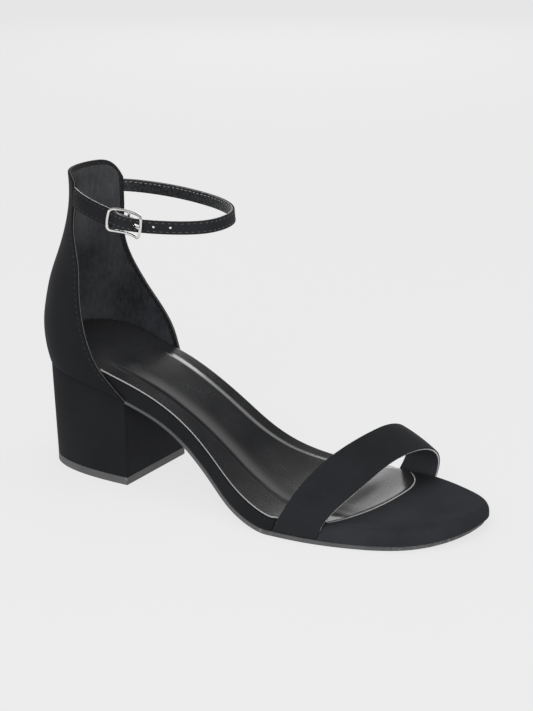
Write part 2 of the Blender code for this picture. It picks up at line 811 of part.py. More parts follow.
def make_ankle_strap(route):
    lift = spline([r.t for r in STRAP_LIFT], [r.n for r in STRAP_LIFT], end=0.0)
    tail = STRAP_LIFT[0].t
    level = STRAP_LIFT[-1]

    def place(u, v):
        s = lerp(tail, route.end, u)
        origin, _forward, out, up = route.at(s)
        n = lift(s) if s < level.t else level.n
        rounding = math.sqrt(1 - (1 - min((s - tail) / TAIL_TIP, 1.0)) ** 2)
        half = STRAP_WIDTH / 2 * lerp(TAIL_BLUNT, 1.0, rounding)
        return origin + out * (n + STRAP / 2) + up * lerp(-half, half, v)

    strap = shell("ankle_strap", 76, 2, place, STRAP, lambda at: (50 - at.x, -at.y, 0))
    cutter_mesh = bmesh.new()
    for step in HOLES_FROM_PRONG:
        s = PRONG_HOLE + step * HOLE_PITCH
        origin, forward, out, up = route.at(s)
        n = lift(s)
        slope = (lift(s + 0.5) - lift(s - 0.5)) if step else 0.0
        along = forward + out * slope
        along = along / np.linalg.norm(along)
        through = np.cross(along, up)
        stretch = 1.0 if step else PRONG_HOLE_STRETCH
        radius = (HOLE_RADIUS if step else PRONG_HOLE_RADIUS) * MM
        axes = Matrix(np.column_stack((along * stretch, up, through)).tolist()).to_4x4()
        where = Matrix.Translation(Vector(origin + out * n) * MM)
        bmesh.ops.create_cone(
            cutter_mesh,
            cap_ends=True,
            segments=10,
            radius1=radius,
            radius2=radius,
            depth=HOLE_DEPTH * MM,
            matrix=where @ axes,
        )
    cut(strap, cutter("strap_holes", cutter_mesh))


def cutter(name, bm):
    bmesh.ops.recalc_face_normals(bm, faces=bm.faces)
    mesh = bpy.data.meshes.new(name)
    bm.to_mesh(mesh)
    bm.free()
    obj = bpy.data.objects.new(name, mesh)
    obj.hide_render = True
    obj.display_type = "WIRE"
    obj.parent = stand
    cutters.objects.link(obj)
    return obj


def cut(obj, tool, operation="DIFFERENCE"):
    modifier = obj.modifiers.new(tool.name, "BOOLEAN")
    modifier.operation = operation
    modifier.object = tool
    modifier.solver = "EXACT"


def tab_edge(run, root_run):
    """How far the tab reaches above and below the route: wide at its root, narrow round the bar."""
    lead = ease(run, 0, root_run)
    taper = ease(run - root_run, *TAB_TAPER)
    ends = zip(TAB_ROOT, TAB_FRONT, TAB_LOOP)
    return TabEdge(*(lerp(lerp(root, front, lead), loop, taper) for root, front, loop in ends))


def make_buckle_tab(route):
    """The tab from the counter, round the centre bar and back inside itself."""
    fold_t = [r.t for r in TAB_FOLD]
    fold_n = [r.n for r in TAB_FOLD]
    steps = np.concatenate(([0.0], np.cumsum(np.hypot(np.diff(fold_t), np.diff(fold_n)))))
    t_line = spline(steps, fold_t)
    n_line = spline(steps, fold_n)
    root_run = TAB_FOLD[0].t - route.start
    total = root_run + steps[-1]

    def place(u, v):
        run = u * total
        if run < root_run:
            s, n = route.start + run, lerp(TAB / 2, TAB_FOLD[0].n, ease(run, root_run - 6, root_run))
        else:
            s, n = t_line(run - root_run), n_line(run - root_run)
        origin, forward, out, up = route.at(s)
        edge = tab_edge(run, root_run)
        across = up * lerp(-edge.drop, edge.rise, v)
        plumb = forward * across[2] * forward[2] * (1 - ease(run, 0, TAB_ROOT_RUN))
        return origin + out * n + across + plumb

    bm = grid(52, 2, place)
    tab = finish("buckle_tab", bm)
    wall = tab.modifiers.new("wall", "SOLIDIFY")
    wall.thickness = TAB * MM
    wall.offset = 0.0
    wall.use_even_offset = True
    origin, forward, out, up = route.at(0.0)
    slot = bmesh.new()
    bmesh.ops.create_cube(slot, size=1.0)
    length = SLOT_BACK + SLOT_FRONT
    centre = origin + forward * (SLOT_FRONT - SLOT_BACK) / 2 + out * BAR_OUT
    axes = Matrix(np.column_stack((forward * length, up * SLOT_WIDTH, out * SLOT_DEPTH)).tolist()).to_4x4()
    for vert in slot.verts:
        vert.co = (axes @ vert.co + Vector(centre)) * MM
    cut(tab, cutter("prong_slot", slot))


def wire(name, points, radius, closed):
    """A bent wire with filled ends, made a mesh."""
    curve = bpy.data.curves.new(name + "_wire", "CURVE")
    curve.dimensions = "3D"
    curve.bevel_depth = radius * MM
    curve.bevel_resolution = 2
    curve.use_fill_caps = True
    line = curve.splines.new("POLY")
    line.points.add(len(points) - 1)
    for target, point in zip(line.points, points):
        target.co = (*(np.asarray(point) * MM), 1.0)
    line.use_cyclic_u = closed
    guide = bpy.data.objects.new(name + "_wire", curve)
    bpy.context.scene.collection.objects.link(guide)
    evaluated = guide.evaluated_get(bpy.context.evaluated_depsgraph_get())
    mesh = bpy.data.meshes.new_from_object(evaluated)
    bpy.data.objects.remove(guide)
    bm = bmesh.new()
    bm.from_mesh(mesh)
    bpy.data.meshes.remove(mesh)
    bmesh.ops.remove_doubles(bm, verts=bm.verts, dist=0.00001)
    bmesh.ops.recalc_face_normals(bm, faces=bm.faces)
    return bm


def make_buckle(route):
    origin, forward, out, up = route.at(0.0)

    def place(t, n, w):
        return origin + forward * t + out * n + up * w

    corners = []
    inner = (FRAME_HALF_LENGTH - FRAME_CORNER, FRAME_HALF_WIDTH - FRAME_CORNER)
    for quarter, (sign_t, sign_w) in enumerate(((1, 1), (-1, 1), (-1, -1), (1, -1))):
        for step in range(6):
            turn = (quarter + step / 5) * math.pi / 2
            t = sign_t * inner[0] + FRAME_CORNER * math.cos(turn)
            w = sign_w * inner[1] + FRAME_CORNER * math.sin(turn)
            corners.append((t, w))
    loop = []
    for here, after in zip(corners, corners[1:] + corners[:1]):
        span = math.dist(here, after)
        steps = max(int(span / FRAME_STEP), 1)
        for share in np.arange(steps) / steps:
            t, w = lerp(here[0], after[0], share), lerp(here[1], after[1], share)
            bowed = t + math.copysign(FRAME_BOW, t) * (1 - (w / FRAME_HALF_WIDTH) ** 2) * (abs(t) > inner[0])
            loop.append(place(bowed, BAR_OUT + FRAME_ARCH * (t / FRAME_HALF_LENGTH) ** 2, w))
    frame = finish("buckle_frame", wire("buckle_frame", loop, WIRE, True))
    bar_ends = [place(0.0, BAR_OUT, w) for w in (-FRAME_HALF_WIDTH, FRAME_HALF_WIDTH)]
    cut(frame, cutter("centre_bar", wire("centre_bar", bar_ends, WIRE * 0.96, False)), "UNION")

    ring = np.radians(np.linspace(335, 50, 15))
    path = [(PRONG_LOOP * math.cos(a), BAR_OUT + PRONG_LOOP * math.sin(a)) for a in ring]
    bend = [path[-1]] + [(f.t, f.n) for f in PRONG_TONGUE]
    run = np.concatenate(([0.0], np.cumsum([math.dist(a, b) for a, b in zip(bend, bend[1:])])))
    t_line, n_line = (spline(run, [b[axis] for b in bend]) for axis in (0, 1))
    path += [(t_line(s), n_line(s)) for s in np.linspace(0, run[-1], 11)[1:]]
    finish("buckle_prong", wire("buckle_prong", [place(t, n, 0.0) for t, n in path], PRONG, False))


def stand_on_floor():
    """Moves the stand so that the origin is under the middle of the shoe's box."""
    bpy.context.view_layer.update()
    graph = bpy.context.evaluated_depsgraph_get()
    corners = []
    for obj in shoe.objects:
        if obj.type == "MESH":
            body = obj.evaluated_get(graph)
            corners += [body.matrix_world @ vert.co for vert in body.data.vertices]
    low, high = (Vector(op(c[axis] for c in corners) for axis in range(3)) for op in (min, max))
    stand.location = -Vector(((low.x + high.x) / 2, (low.y + high.y) / 2, low.z))


for old in list(bpy.data.objects):
    bpy.data.objects.remove(old, do_unlink=True)
shoe = bpy.data.collections.new("block_heel_sandal")
cutters = bpy.data.collections.new("cutters")
for collection in (shoe, cutters):
    bpy.context.scene.collection.children.link(collection)
stand = bpy.data.objects.new("stand", None)
shoe.objects.link(stand)

ankle_route = Route()
make_heel()
make_outsole()
make_board()
make_edge_wrap()
make_toe_cover()
make_sock()
make_toe_band()
make_counter()
make_ankle_strap(ankle_route)
make_buckle_tab(ankle_route)
make_buckle(ankle_route)
stand_on_floor()
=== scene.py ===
"""Looks of the block heel sandal: nubuck upper, satin sock, rubber sole and nickel buckle.

Sizes are in millimetres until a point is placed by on_shoe. X runs from the back of the heel seat
to the toe, +Y is the medial side and Z is up from the floor.
"""

import math
from collections import namedtuple

import bpy
import numpy as np
from mathutils import Matrix, Vector


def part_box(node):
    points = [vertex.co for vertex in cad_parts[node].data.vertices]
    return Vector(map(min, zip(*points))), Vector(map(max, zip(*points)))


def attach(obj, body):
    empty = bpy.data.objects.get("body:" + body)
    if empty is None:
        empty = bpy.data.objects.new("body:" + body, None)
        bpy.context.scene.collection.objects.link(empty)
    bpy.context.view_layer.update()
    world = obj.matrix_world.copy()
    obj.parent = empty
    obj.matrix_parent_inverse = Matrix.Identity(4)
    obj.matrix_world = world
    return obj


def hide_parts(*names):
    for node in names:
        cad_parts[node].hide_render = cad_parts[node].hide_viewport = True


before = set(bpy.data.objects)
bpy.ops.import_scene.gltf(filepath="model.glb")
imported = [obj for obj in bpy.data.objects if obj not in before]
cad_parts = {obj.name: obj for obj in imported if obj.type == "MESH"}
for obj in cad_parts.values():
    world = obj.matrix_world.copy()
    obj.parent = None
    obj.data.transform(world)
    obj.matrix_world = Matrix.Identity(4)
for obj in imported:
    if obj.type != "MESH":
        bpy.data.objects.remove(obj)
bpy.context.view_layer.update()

MM = 0.001
GAP = 0.3
SIDES = (-1, 1)  # lateral and medial
SOLE_GAP = 0.4

# Sole stack, from the floor up
OUTSOLE = 2.1
OUTSOLE_ROUND = 0.35
SHANK_SOLE = 1.3
SHANK_RUN = (60.0, 125.0)
BOARD = 4.8
SOCK = 0.8
SOCK_ROUND = 0.3
BED = 0.4
WRAP = 1.5
WRAP_ROUND = 0.4
TREAD_START = 163.0
BALL = 150.0
TREAD_END = 208.0
TOE_SPRING = 3.2
BOARD_TREAD = OUTSOLE + SOLE_GAP + BOARD

# Outline of the wrapped board
HEEL_BACK = 4.0
HEEL_CENTRE = 32.0
TIP_X = 235.2
TIP_Y = 9.5
TOE_CENTRE = {-1: 150.0, 1: 174.0}
TOE_FULLNESS = {-1: 2.3, 1: 2.0}
CORNER = math.radians(58.0)
TOE_INSET = 0.8
TIP_DRAW = 1.3
OUTSOLE_FLARE = 0.2
END_FADE = 8
WRAP_LOW = 0.15
WRAP_RAKE_START = 120.0
WRAP_MIDDLE = 72.0

Waist = namedtuple("Waist", "x lateral medial")
WAIST = [
    Waist(32, 27.0, 26.8),
    Waist(52, 28.2, 27.0),
    Waist(75, 28.5, 24.0),
    Waist(98, 30.8, 21.4),
    Waist(112, 34.2, 22.2),
    Waist(126, 39.2, 27.0),
    Waist(142, 44.2, 35.2),
    Waist(150, 45.4, 38.9),
    Waist(174, 45.4, 45.2),
]

Pitch = namedtuple("Pitch", "x top")
PITCH = [
    Pitch(4, 60.4),
    Pitch(25, 59.4),
    Pitch(50, 55.4),
    Pitch(75, 47.7),
    Pitch(100, 35.0),
    Pitch(125, 18.4),
    Pitch(145, 10.1),
    Pitch(TREAD_START, BOARD_TREAD),
]

Under = namedtuple("Under", "x low")
UNDER = [
    Under(58, 43.4),
    Under(78, 36.6),
    Under(93, 28.5),
    Under(103, 21.4),
    Under(112, 14.5),
    Under(122, 7.4),
    Under(131, 3.4),
    Under(140, 1.0),
    Under(BALL, 0.0),
]
SEAT_DEPTH = 5.6

# Sock: the cushion's shoulder stands in from the edge by other amounts on its two sides
SOCK_TIP = 189.0
SOCK_CENTRE = (164.0, 20.0)
SOCK_REACH = {-1: 64.0, 1: 27.0}
SOCK_INSET = 0.5
SOCK_NARROW = {-1: (151.3, 154.2), 1: (168.0, 171.0)}
CUSHION = 1.6
Shoulder = namedtuple("Shoulder", "start full")
SEAT_SHOULDER = {-1: Shoulder(8.3, 11.3), 1: Shoulder(7.2, 13.4)}
BALL_SHOULDER = {-1: Shoulder(16.5, 19.5), 1: Shoulder(7.2, 13.4)}
SHOULDER_CROWN = {-1: 9.5, 1: 0.0}
SHOULDER_SPREAD = (85.0, 140.0)
# Painted light on the sock's satin: a painted highlight along the lateral crest, a painted reflection from
# the ball forwards, and painted light on the shaded heel seat
CREST_EDGE = 1.6
CREST_HIGHLIGHT_REACH = 7.5
CREST_BACK = (50.0, 72.0)
BALL_PAINTED_LIGHT = 0.34
BALL_PAINTED_LIGHT_RUN = (112.0, 158.0)
SEAT_PAINTED_LIGHT = 0.16
SEAT_PAINTED_LIGHT_RUN = (42.0, 62.0)
PRESS_REACH = 3.6
Dull = namedtuple("Dull", "x y long wide")
BAND_DULL = Dull(174.0, 0.0, 7.0, 32.0)
DULL_CORE = 0.3
FRONT_SHOULDER = Shoulder(0.8, 5.5)
FRONT_SPREAD = (150.0, 176.0)
CUSHION_FRONT = Shoulder(0.0, 24.0)
CUSHION_BACK = Shoulder(38.0, 54.0)
SEAT_PAD = 4.6
SEAT_PAD_RUN = (10.0, 52.0)
SEAT_FLARE = 1.4
SEAT_FLARE_RUN = (32.0, 44.0)
SOCK_EDGE_SLOPE = 0.35

# Toe cover
COVER_TOP = 0.7
COVER_EDGE = 4.5
COVER_CROWN = 1.3
COVER_REACH = 0.9
COVER_ROUND = 0.15
COVER_SIDE_SHARE = 0.2
COVER_ROLL_SHARE = 0.6

# Toe band
Arch = namedtuple("Arch", "lateral_x medial_x bow height power skew toe_in swell")
BAND_REAR = Arch(154.7, 172.0, 18.4, 34.6, 2.04, 7.7, 5.0, -2.0)
BAND_FRONT = Arch(177.1, 192.8, 8.8, 23.8, 2.13, 8.7, 0.0, 2.6)
BAND_RAKE = 0.45
BAND_CROWN = 0.6
BAND_SIDE = 0.05
BAND_CROWN_WAY = (0.3, 0.0, 0.95)

# Heel
LIFT = 3.8
LIFT_ROUND = 0.3
HEEL_ROUND = 0.5
BREAST = 58.4
HEEL_BASE_BACK = 2.6
HEEL_BASE_HALF = {-1: 27.0, 1: 24.6}
HEEL_TOP_BACK = 0.4
HEEL_TOP_HALF = {-1: 28.8, 1: 27.0}
HEEL_POWER = 2.5
HEEL_FLAT = 0.02

# Counter
COUNTER_WALL = 1.8
Cup = namedtuple("Cup", "z back depth half lateral_front medial_front")
CUP = [
    Cup(42, 3.2, 31.0, 30.4, 62.6, 57.0),
    Cup(52, 1.6, 32.0, 30.5, 51.0, 53.4),
    Cup(58, -0.5, 32.5, 30.5, 45.0, 51.6),
    Cup(66, -2.3, 33.0, 30.6, 40.1, 48.5),
    Cup(76, -2.5, 33.0, 30.8, 36.8, 41.5),
    Cup(86, -0.8, 33.0, 31.0, 35.1, 32.9),
    Cup(98, 2.4, 32.5, 31.0, 34.4, 25.6),
    Cup(112, 7.9, 31.5, 30.3, 32.9, 23.1),
    Cup(126, 12.5, 30.0, 29.3, 27.9, 24.7),
    Cup(140, 14.7, 28.5, 28.0, 27.3, 25.6),
    Cup(156, 14.0, 29.4, 28.4, 27.6, 25.2),
]
RIM = 151.8
RimCorner = namedtuple("RimCorner", "drop start power")
RIM_CORNER = {-1: RimCorner(3.0, 0.7, 1.5), 1: RimCorner(9.5, 0.35, 4.0)}

# Ankle strap and buckle tab
STRAP_WIDTH = 6.2
STRAP = 1.6
TAIL_TIP = 4.0
TAIL_BLUNT = 0.35
TabEdge = namedtuple("TabEdge", "rise drop")
TAB_ROOT = TabEdge(4.2, 4.8)
TAB_FRONT = TabEdge(3.5, 4.9)
TAB_LOOP = TabEdge(2.3, 2.3)
TAB_TAPER = (2.5, 8.0)
TAB_ROOT_RUN = 10.0
TAB_RISE_RUN = 6
TAB = 1.3
LEAN = math.radians(5.0)
ROOT_GAP = 0.8
Stop = namedtuple("Stop", "x y z")
ROUTE = [
    Stop(28.4, -1, 141.8),
    Stop(36.0, -27.6, 141.1),
    Stop(42.4, -30.0, 140.1),
    Stop(53.2, -32.4, 138.4),
    Stop(67.0, -33.4, 136.2),
    Stop(76.0, -32.0, 135.4),
    Stop(88.2, -26.2, 134.8),
    Stop(97.2, -16.8, 134.3),
    Stop(100.1, -4.5, 134.0),
    Stop(96.6, 10.5, 134.2),
    Stop(86.0, 20.2, 134.8),
    Stop(70.0, 26.0, 135.5),
    Stop(52.0, 28.2, 136.3),
    Stop(37.0, 27.0, 136.9),
    Stop(26.0, 1, 137.4),
    Stop(20.0, 1, 138.0),
    Stop(17.5, 1, 138.3),
]
BUCKLE_STOP = 4
ROUTE_LOOK = 1.5
ANKLE_X = 50.0

# Buckle, with the tab, the strap and the prong on it
WIRE = 0.7
BAR_WIRE = WIRE * 0.96
WIRE_STEP = 0.5
WIRE_WELD = 0.01
FRAME_HALF_LENGTH = 8.4
FRAME_HALF_WIDTH = 5.2
FRAME_CORNER = 1.6
FRAME_BOW = 0.7
BAR_OUT = 0.6
FRAME_ARCH = 3.8
PRONG = 0.5
PRONG_LOOP = WIRE + GAP + PRONG
PRONG_LOOP_ARC = (335, 50)
Fold = namedtuple("Fold", "t n")
TAB_FOLD = [
    Fold(-12.0, 0.7),
    Fold(-8.5, 0.75),
    Fold(-5.0, 0.9),
    Fold(-2.5, 1.6),
    Fold(0.0, 2.3),
    Fold(1.45, 1.6),
    Fold(1.8, 0.6),
    Fold(1.3, -0.6),
    Fold(0.0, -1.1),
    Fold(-3.0, -1.15),
    Fold(-6.0, -1.05),
    Fold(-9.0, -1.0),
    Fold(-14.0, -1.0),
]
STRAP_LIFT = [
    Fold(-11.5, 2.55),
    Fold(-8.2, 2.55),
    Fold(-4.2, 3.2),
    Fold(0.0, 4.1),
    Fold(4.2, 3.3),
    Fold(8.2, 2.3),
    Fold(14.0, 1.3),
    Fold(24.0, 0.8),
    Fold(40.0, 0.8),
]
PRONG_TONGUE = [Fold(2.5, 1.2), Fold(3.9, 1.3), Fold(5.0, 2.6), Fold(6.4, 4.45), Fold(9.0, 6.05)]
HOLE_PITCH = 7.7
PRONG_HOLE = 5.2
HOLES_FROM_PRONG = (-1, 0, 1, 2)
HOLE_RADIUS = 0.6
PRONG_HOLE_RADIUS = 0.8
HOLE_DEPTH = 5.4
PRONG_HOLE_STRETCH = 2.3
SLOT_WIDTH = 2.2
SLOT_BACK = 3.4
SLOT_FRONT = 4.0
SLOT_DEPTH = 9.0

# Thread
STITCH_PITCH = 3.0
STITCH_LENGTH = 1.7
STITCH_WIDTH = 0.36
STITCH_HEIGHT = 0.3
STITCH_SINK = 0.45 * STITCH_HEIGHT
STITCH_LOOK = 0.3
STITCH_IN = 1.1
STRAP_ROW_START = -9.5
STRAP_ROW_SHORT = 1.5
STRAP_LINING_START = 9.0
STRAP_LINING_SHORT = 12.0
STRAP_LINING_PITCH = 2.6
TAB_ROW_START = 2.0
TAB_ROW_PAST = 2.0
TAB_ROOT_ROW = 1.6
TAB_ROOT_IN = 1.0
TAB_ROOT_PITCH = 2.4
COUNTER_EDGE_IN = 1.65
COUNTER_RIM_IN = 1.43
COUNTER_ROW_FOOT = 8.0
COUNTER_ROW_TOP = 3.0
COUNTER_LOOK = 0.01

# Layers and their edges
LAYER_GAP = 0.02
TURNED_EDGE = 2.2
RAW_EDGE = 0.6

# Camera and studio
VIEW_TURN = math.radians(31.0)
VIEW_RISE = math.radians(17.95)
VIEW_DISTANCE = 1000.0
VIEW_AIM = (122.3, 0.0, 70.46)
LENS = 105.77
SENSOR = 36.0
Sky = namedtuple("Sky", "rise light")
SKY = [
    Sky(0.0, 1.0),
    Sky(0.3, 1.0),
    Sky(0.42, 0.08),
    Sky(0.62, 0.08),
    Sky(0.72, 0.6),
    Sky(0.82, 0.6),
    Sky(0.9, 0.25),
]
SKY_STRENGTH = 1.1
FLOOR_SIZE = 30.0
FLOOR_TONE = 0.1
FLOOR_GLOW = 0.735
Lamp = namedtuple("Lamp", "name place aim size power mirrored")
LAMPS = [
    Lamp("overhead", (0.0, 0.1, 1.4), (0.0, 0.0, 0.05), 0.9, 5.5, False),
    Lamp("side", (0.35, -1.2, 0.95), (0.0, 0.0, 0.05), 1.0, 14.0, False),
    Lamp("rear", (-0.68, 1.22, 0.44), (0.05, 0.0, 0.01), 0.55, 2.0, True),
]

lift_low, lift_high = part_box("top_lift")
SHIFT = Vector((lift_high.x / MM - BREAST, lift_low.y / MM + HEEL_BASE_HALF[-1], 0.0))


def on_shoe(point):
    """A point of the tables, in metres in the shoe's own frame."""
    return (Vector(point) + SHIFT) * MM


# The last and the lines drawn on it


def spline(xs, ys, start=None, end=None):
    """A cubic spline through the points. An end with no given slope is left free."""
    xs = np.asarray(xs, float)
    ys = np.asarray(ys, float)
    count = len(xs)
    step = np.diff(xs)
    rise = np.diff(ys) / step
    left = np.zeros((count, count))
    right = np.zeros(count)
    for i in range(1, count - 1):
        left[i, i - 1 : i + 2] = (1 / step[i - 1], 2 / step[i - 1] + 2 / step[i], 1 / step[i])
        right[i] = 3 * (rise[i - 1] / step[i - 1] + rise[i] / step[i])
    left[0, :2], right[0] = ((2, 1), 3 * rise[0]) if start is None else ((1, 0), start)
    left[-1, -2:], right[-1] = ((1, 2), 3 * rise[-1]) if end is None else ((0, 1), end)
    slope = np.linalg.solve(left, right)

    def value(x):
        i = min(max(int(np.searchsorted(xs, x)) - 1, 0), count - 2)
        t = (x - xs[i]) / step[i]
        h = step[i]
        return (
            (1 + 2 * t) * (1 - t) ** 2 * ys[i]
            + t * (1 - t) ** 2 * h * slope[i]
            + t * t * (3 - 2 * t) * ys[i + 1]
            - t * t * (1 - t) * h * slope[i + 1]
        )

    return value


def ease(x, low, high):
    t = min(max((x - low) / (high - low), 0.0), 1.0)
    return t * t * (3 - 2 * t)


def lerp(a, b, t):
    return a + (b - a) * t


def table_line(rows, key, value, start=None, end=None):
    """A spline through two columns of a table."""
    return spline([getattr(r, key) for r in rows], [getattr(r, value) for r in rows], start, end)


def run_along(points):
    """The length from the first point of a line to each of its points."""
    return np.concatenate(([0.0], np.cumsum(np.linalg.norm(np.diff(points, axis=0), axis=1))))


pitch_line = table_line(PITCH, "x", "top", end=0.0)
under_line = table_line(UNDER, "x", "low", end=0.0)
waist_line = {
    -1: table_line(WAIST[:-1], "x", "lateral", 0.0, 0.0),
    1: table_line(WAIST, "x", "medial", 0.0, 0.0),
}


def toe_lift(x):
    return TOE_SPRING * (max(x - TREAD_END, 0.0) / (TIP_X - TREAD_END)) ** 2


def board_top(x):
    return pitch_line(x) if x < TREAD_START else BOARD_TREAD + toe_lift(x)


def outsole_low(x):
    return under_line(x) if x < BALL else toe_lift(x)


def outsole_top(x):
    slope = outsole_low(x + 0.5) - outsole_low(x - 0.5)
    thickness = lerp(SHANK_SOLE, OUTSOLE, ease(x, *SHANK_RUN))
    return outsole_low(x) + thickness * math.hypot(1.0, slope)


def board_low(x):
    front = outsole_top(max(x, BREAST)) + SOLE_GAP
    seat = board_top(x) - SEAT_DEPTH
    at_breast = board_top(BREAST) - SEAT_DEPTH
    return front if x > BREAST else seat + (front - at_breast) * ease(x, 0.0, BREAST)


def side_edge(x, side, inset=0.0):
    """Signed y of the outline at x, between the heel's and the toe's arcs and round them."""
    if x < HEEL_CENTRE:
        long = HEEL_CENTRE - HEEL_BACK - inset
        half = waist_line[side](HEEL_CENTRE) - inset
        return side * half * math.sqrt(max(1 - ((HEEL_CENTRE - x) / long) ** 2, 0.0))
    centre = TOE_CENTRE[side]
    if x < centre:
        return side * (waist_line[side](x) - inset)
    long = TIP_X - centre - inset
    half = waist_line[side](centre) - side * TIP_Y - inset
    power = TOE_FULLNESS[side]
    return TIP_Y + side * half * max(1 - ((x - centre) / long) ** power, 0.0) ** (1 / power)


def toe_point(angle, inset=0.0):
    side = 1 if angle > 0 else -1
    centre = TOE_CENTRE[side]
    half = waist_line[side](centre) - side * TIP_Y - inset
    power = 2 / TOE_FULLNESS[side]
    x = centre + (TIP_X - centre - inset) * math.cos(angle) ** power
    return np.array((x, TIP_Y + side * half * abs(math.sin(angle)) ** power))


def heel_point(angle, inset=0.0):
    side = 1 if angle > 0 else -1
    half = waist_line[side](HEEL_CENTRE) - inset
    x = HEEL_CENTRE - (HEEL_CENTRE - HEEL_BACK - inset) * math.cos(angle)
    return np.array((x, half * math.sin(angle)))


def patch(lateral, medial, rear, front):
    """A plan patch between four edges: u runs heel to toe, v lateral to medial."""

    def place(u, v):
        bulges = [end(v) - lerp(end(0), end(1), v) for end in (rear, front)]
        return lerp(lateral(u), medial(u), v) + bulges[0] * (1 - u) ** END_FADE + bulges[1] * u**END_FADE

    return place


def side_run(side, start, end, inset):
    def point(u):
        x = lerp(start, end, u)
        return np.array((x, side_edge(x, side, inset(x, side))))

    return point


def band_foot(arch, side):
    return arch.lateral_x if side < 0 else arch.medial_x


# Working by hand: every piece starts as a primitive, and is cut, bent and thickened


def hands_off():
    """Leaves nothing selected."""
    if bpy.context.mode != "OBJECT":
        bpy.ops.object.mode_set(mode="OBJECT")
    bpy.ops.object.select_all(action="DESELECT")


def take(piece):
    hands_off()
    piece.select_set(True)
    bpy.context.view_layer.objects.active = piece


def work(piece, kind, **values):
    """Puts a modifier on a piece and applies it."""
    take(piece)
    modifier = piece.modifiers.new(kind.lower(), kind)
    for key, value in values.items():
        setattr(modifier, key, value)
    bpy.ops.object.modifier_apply(modifier=modifier.name)


def reshape(operator, **values):
    """Uses an edit mode operator on the whole of the active piece."""
    bpy.ops.object.mode_set(mode="EDIT")
    bpy.ops.mesh.select_all(action="SELECT")
    operator(**values)
    bpy.ops.object.mode_set(mode="OBJECT")


def face_out():
    """Turns the faces of the active solid outwards."""
    reshape(bpy.ops.mesh.normals_make_consistent, inside=False)


def twin(piece):
    """A copy of a piece with a mesh of its own."""
    copy = piece.copy()
    copy.data = piece.data.copy()
    bpy.context.scene.collection.objects.link(copy)
    return copy


def unite(pieces, name):
    """Makes one piece of several."""
    take(pieces[0])
    for piece in pieces[1:]:
        piece.select_set(True)
    bpy.ops.object.join()
    pieces[0].name = name
    return pieces[0]


def coat(piece, finish):
    piece.data.materials.clear()
    piece.data.materials.append(finish)


def mark(piece, label, amount):
    """Keeps an amount at each point of a piece, for its finish to read."""
    kept = piece.data.attributes.new(label, "FLOAT", "POINT")
    for vert, value in zip(piece.data.vertices, kept.data):
        value.value = amount(vert.co)


def flat_grid(name, along, across):
    hands_off()
    bpy.ops.mesh.primitive_grid_add(x_subdivisions=along, y_subdivisions=across, size=1.0)
    piece = bpy.context.object
    piece.name = name
    piece.data.name = name
    return piece


def bend(piece, place):
    """Bends a flat piece: u along it, v across it and w up from it give each point's place."""
    for vert in piece.data.vertices:
        vert.co = on_shoe(place(vert.co.x + 0.5, vert.co.y + 0.5, vert.co.z))
    piece.data.update()


def slab(name, along, across, place):
    """A solid raised from a flat grid, with w 0 below and 1 on top."""
    piece = flat_grid(name, along, across)
    reshape(bpy.ops.mesh.extrude_region_move, TRANSFORM_OT_translate={"value": (0.0, 0.0, 1.0)})
    bend(piece, place)
    face_out()
    return piece


def skin(name, along, across, place, inwards, margin=None):
    """An open skin whose faces look away from the direction inwards gives at its middle.

    margin keeps the distance in millimetres from each point to the free edges.
    """
    piece = flat_grid(name, along, across)
    if margin is not None:
        mark(piece, "margin", lambda flat: margin(flat.x + 0.5, flat.y + 0.5))
    bend(piece, lambda u, v, w: place(u, v))
    probe = piece.data.polygons[len(piece.data.polygons) // 2]
    middle = probe.center / MM - SHIFT
    if probe.normal.dot(Vector(inwards(middle))) > 0:
        reshape(bpy.ops.mesh.flip_normals)
    return piece


def round_edges(piece, width, turn=45.0, segments=3):
    work(
        piece,
        "BEVEL",
        width=width * MM,
        segments=segments,
        limit_method="ANGLE",
        angle_limit=math.radians(turn),
    )


def wall(piece, thickness, **values):
    work(piece, "SOLIDIFY", thickness=thickness * MM, offset=-1.0, use_even_offset=True, **values)


Layer = namedtuple("Layer", "finish thickness rounding")


def laminate(name, along, across, place, inwards, layers, tool=None, margin=None, rise=0.0):
    """Layers glued on each other, from the outer face inwards, as one piece cut by a tool.

    The outer face stands out by rise from the skin that place gives.
    """
    base = skin(name, along, across, place, inwards, margin)
    sheets = []
    depth = -rise
    for layer in layers:
        sheet = twin(base)
        if depth:
            work(sheet, "DISPLACE", mid_level=0.0, strength=-depth * MM)
        wall(sheet, layer.thickness - LAYER_GAP)
        if layer.rounding:
            round_edges(sheet, layer.rounding, segments=2)
        if tool is not None:
            work(sheet, "BOOLEAN", object=tool, operation="DIFFERENCE", solver="EXACT")
        coat(sheet, layer.finish)
        sheets.append(sheet)
        depth += layer.thickness
    bpy.data.objects.remove(base)
    if tool is not None:
        bpy.data.objects.remove(tool)
    return unite(sheets, name)


def deliver(piece, slot, *nodes, finish=None, crease=35.0):
    """Shades a piece, gives it its finish and puts it on the shoe in the place of its solids."""
    if finish is not None:
        coat(piece, finish)
    take(piece)
    bpy.ops.object.shade_smooth_by_angle(angle=math.radians(crease))
    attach(piece, "root")
    if nodes:
        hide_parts(*nodes)
    return piece


# Finishes


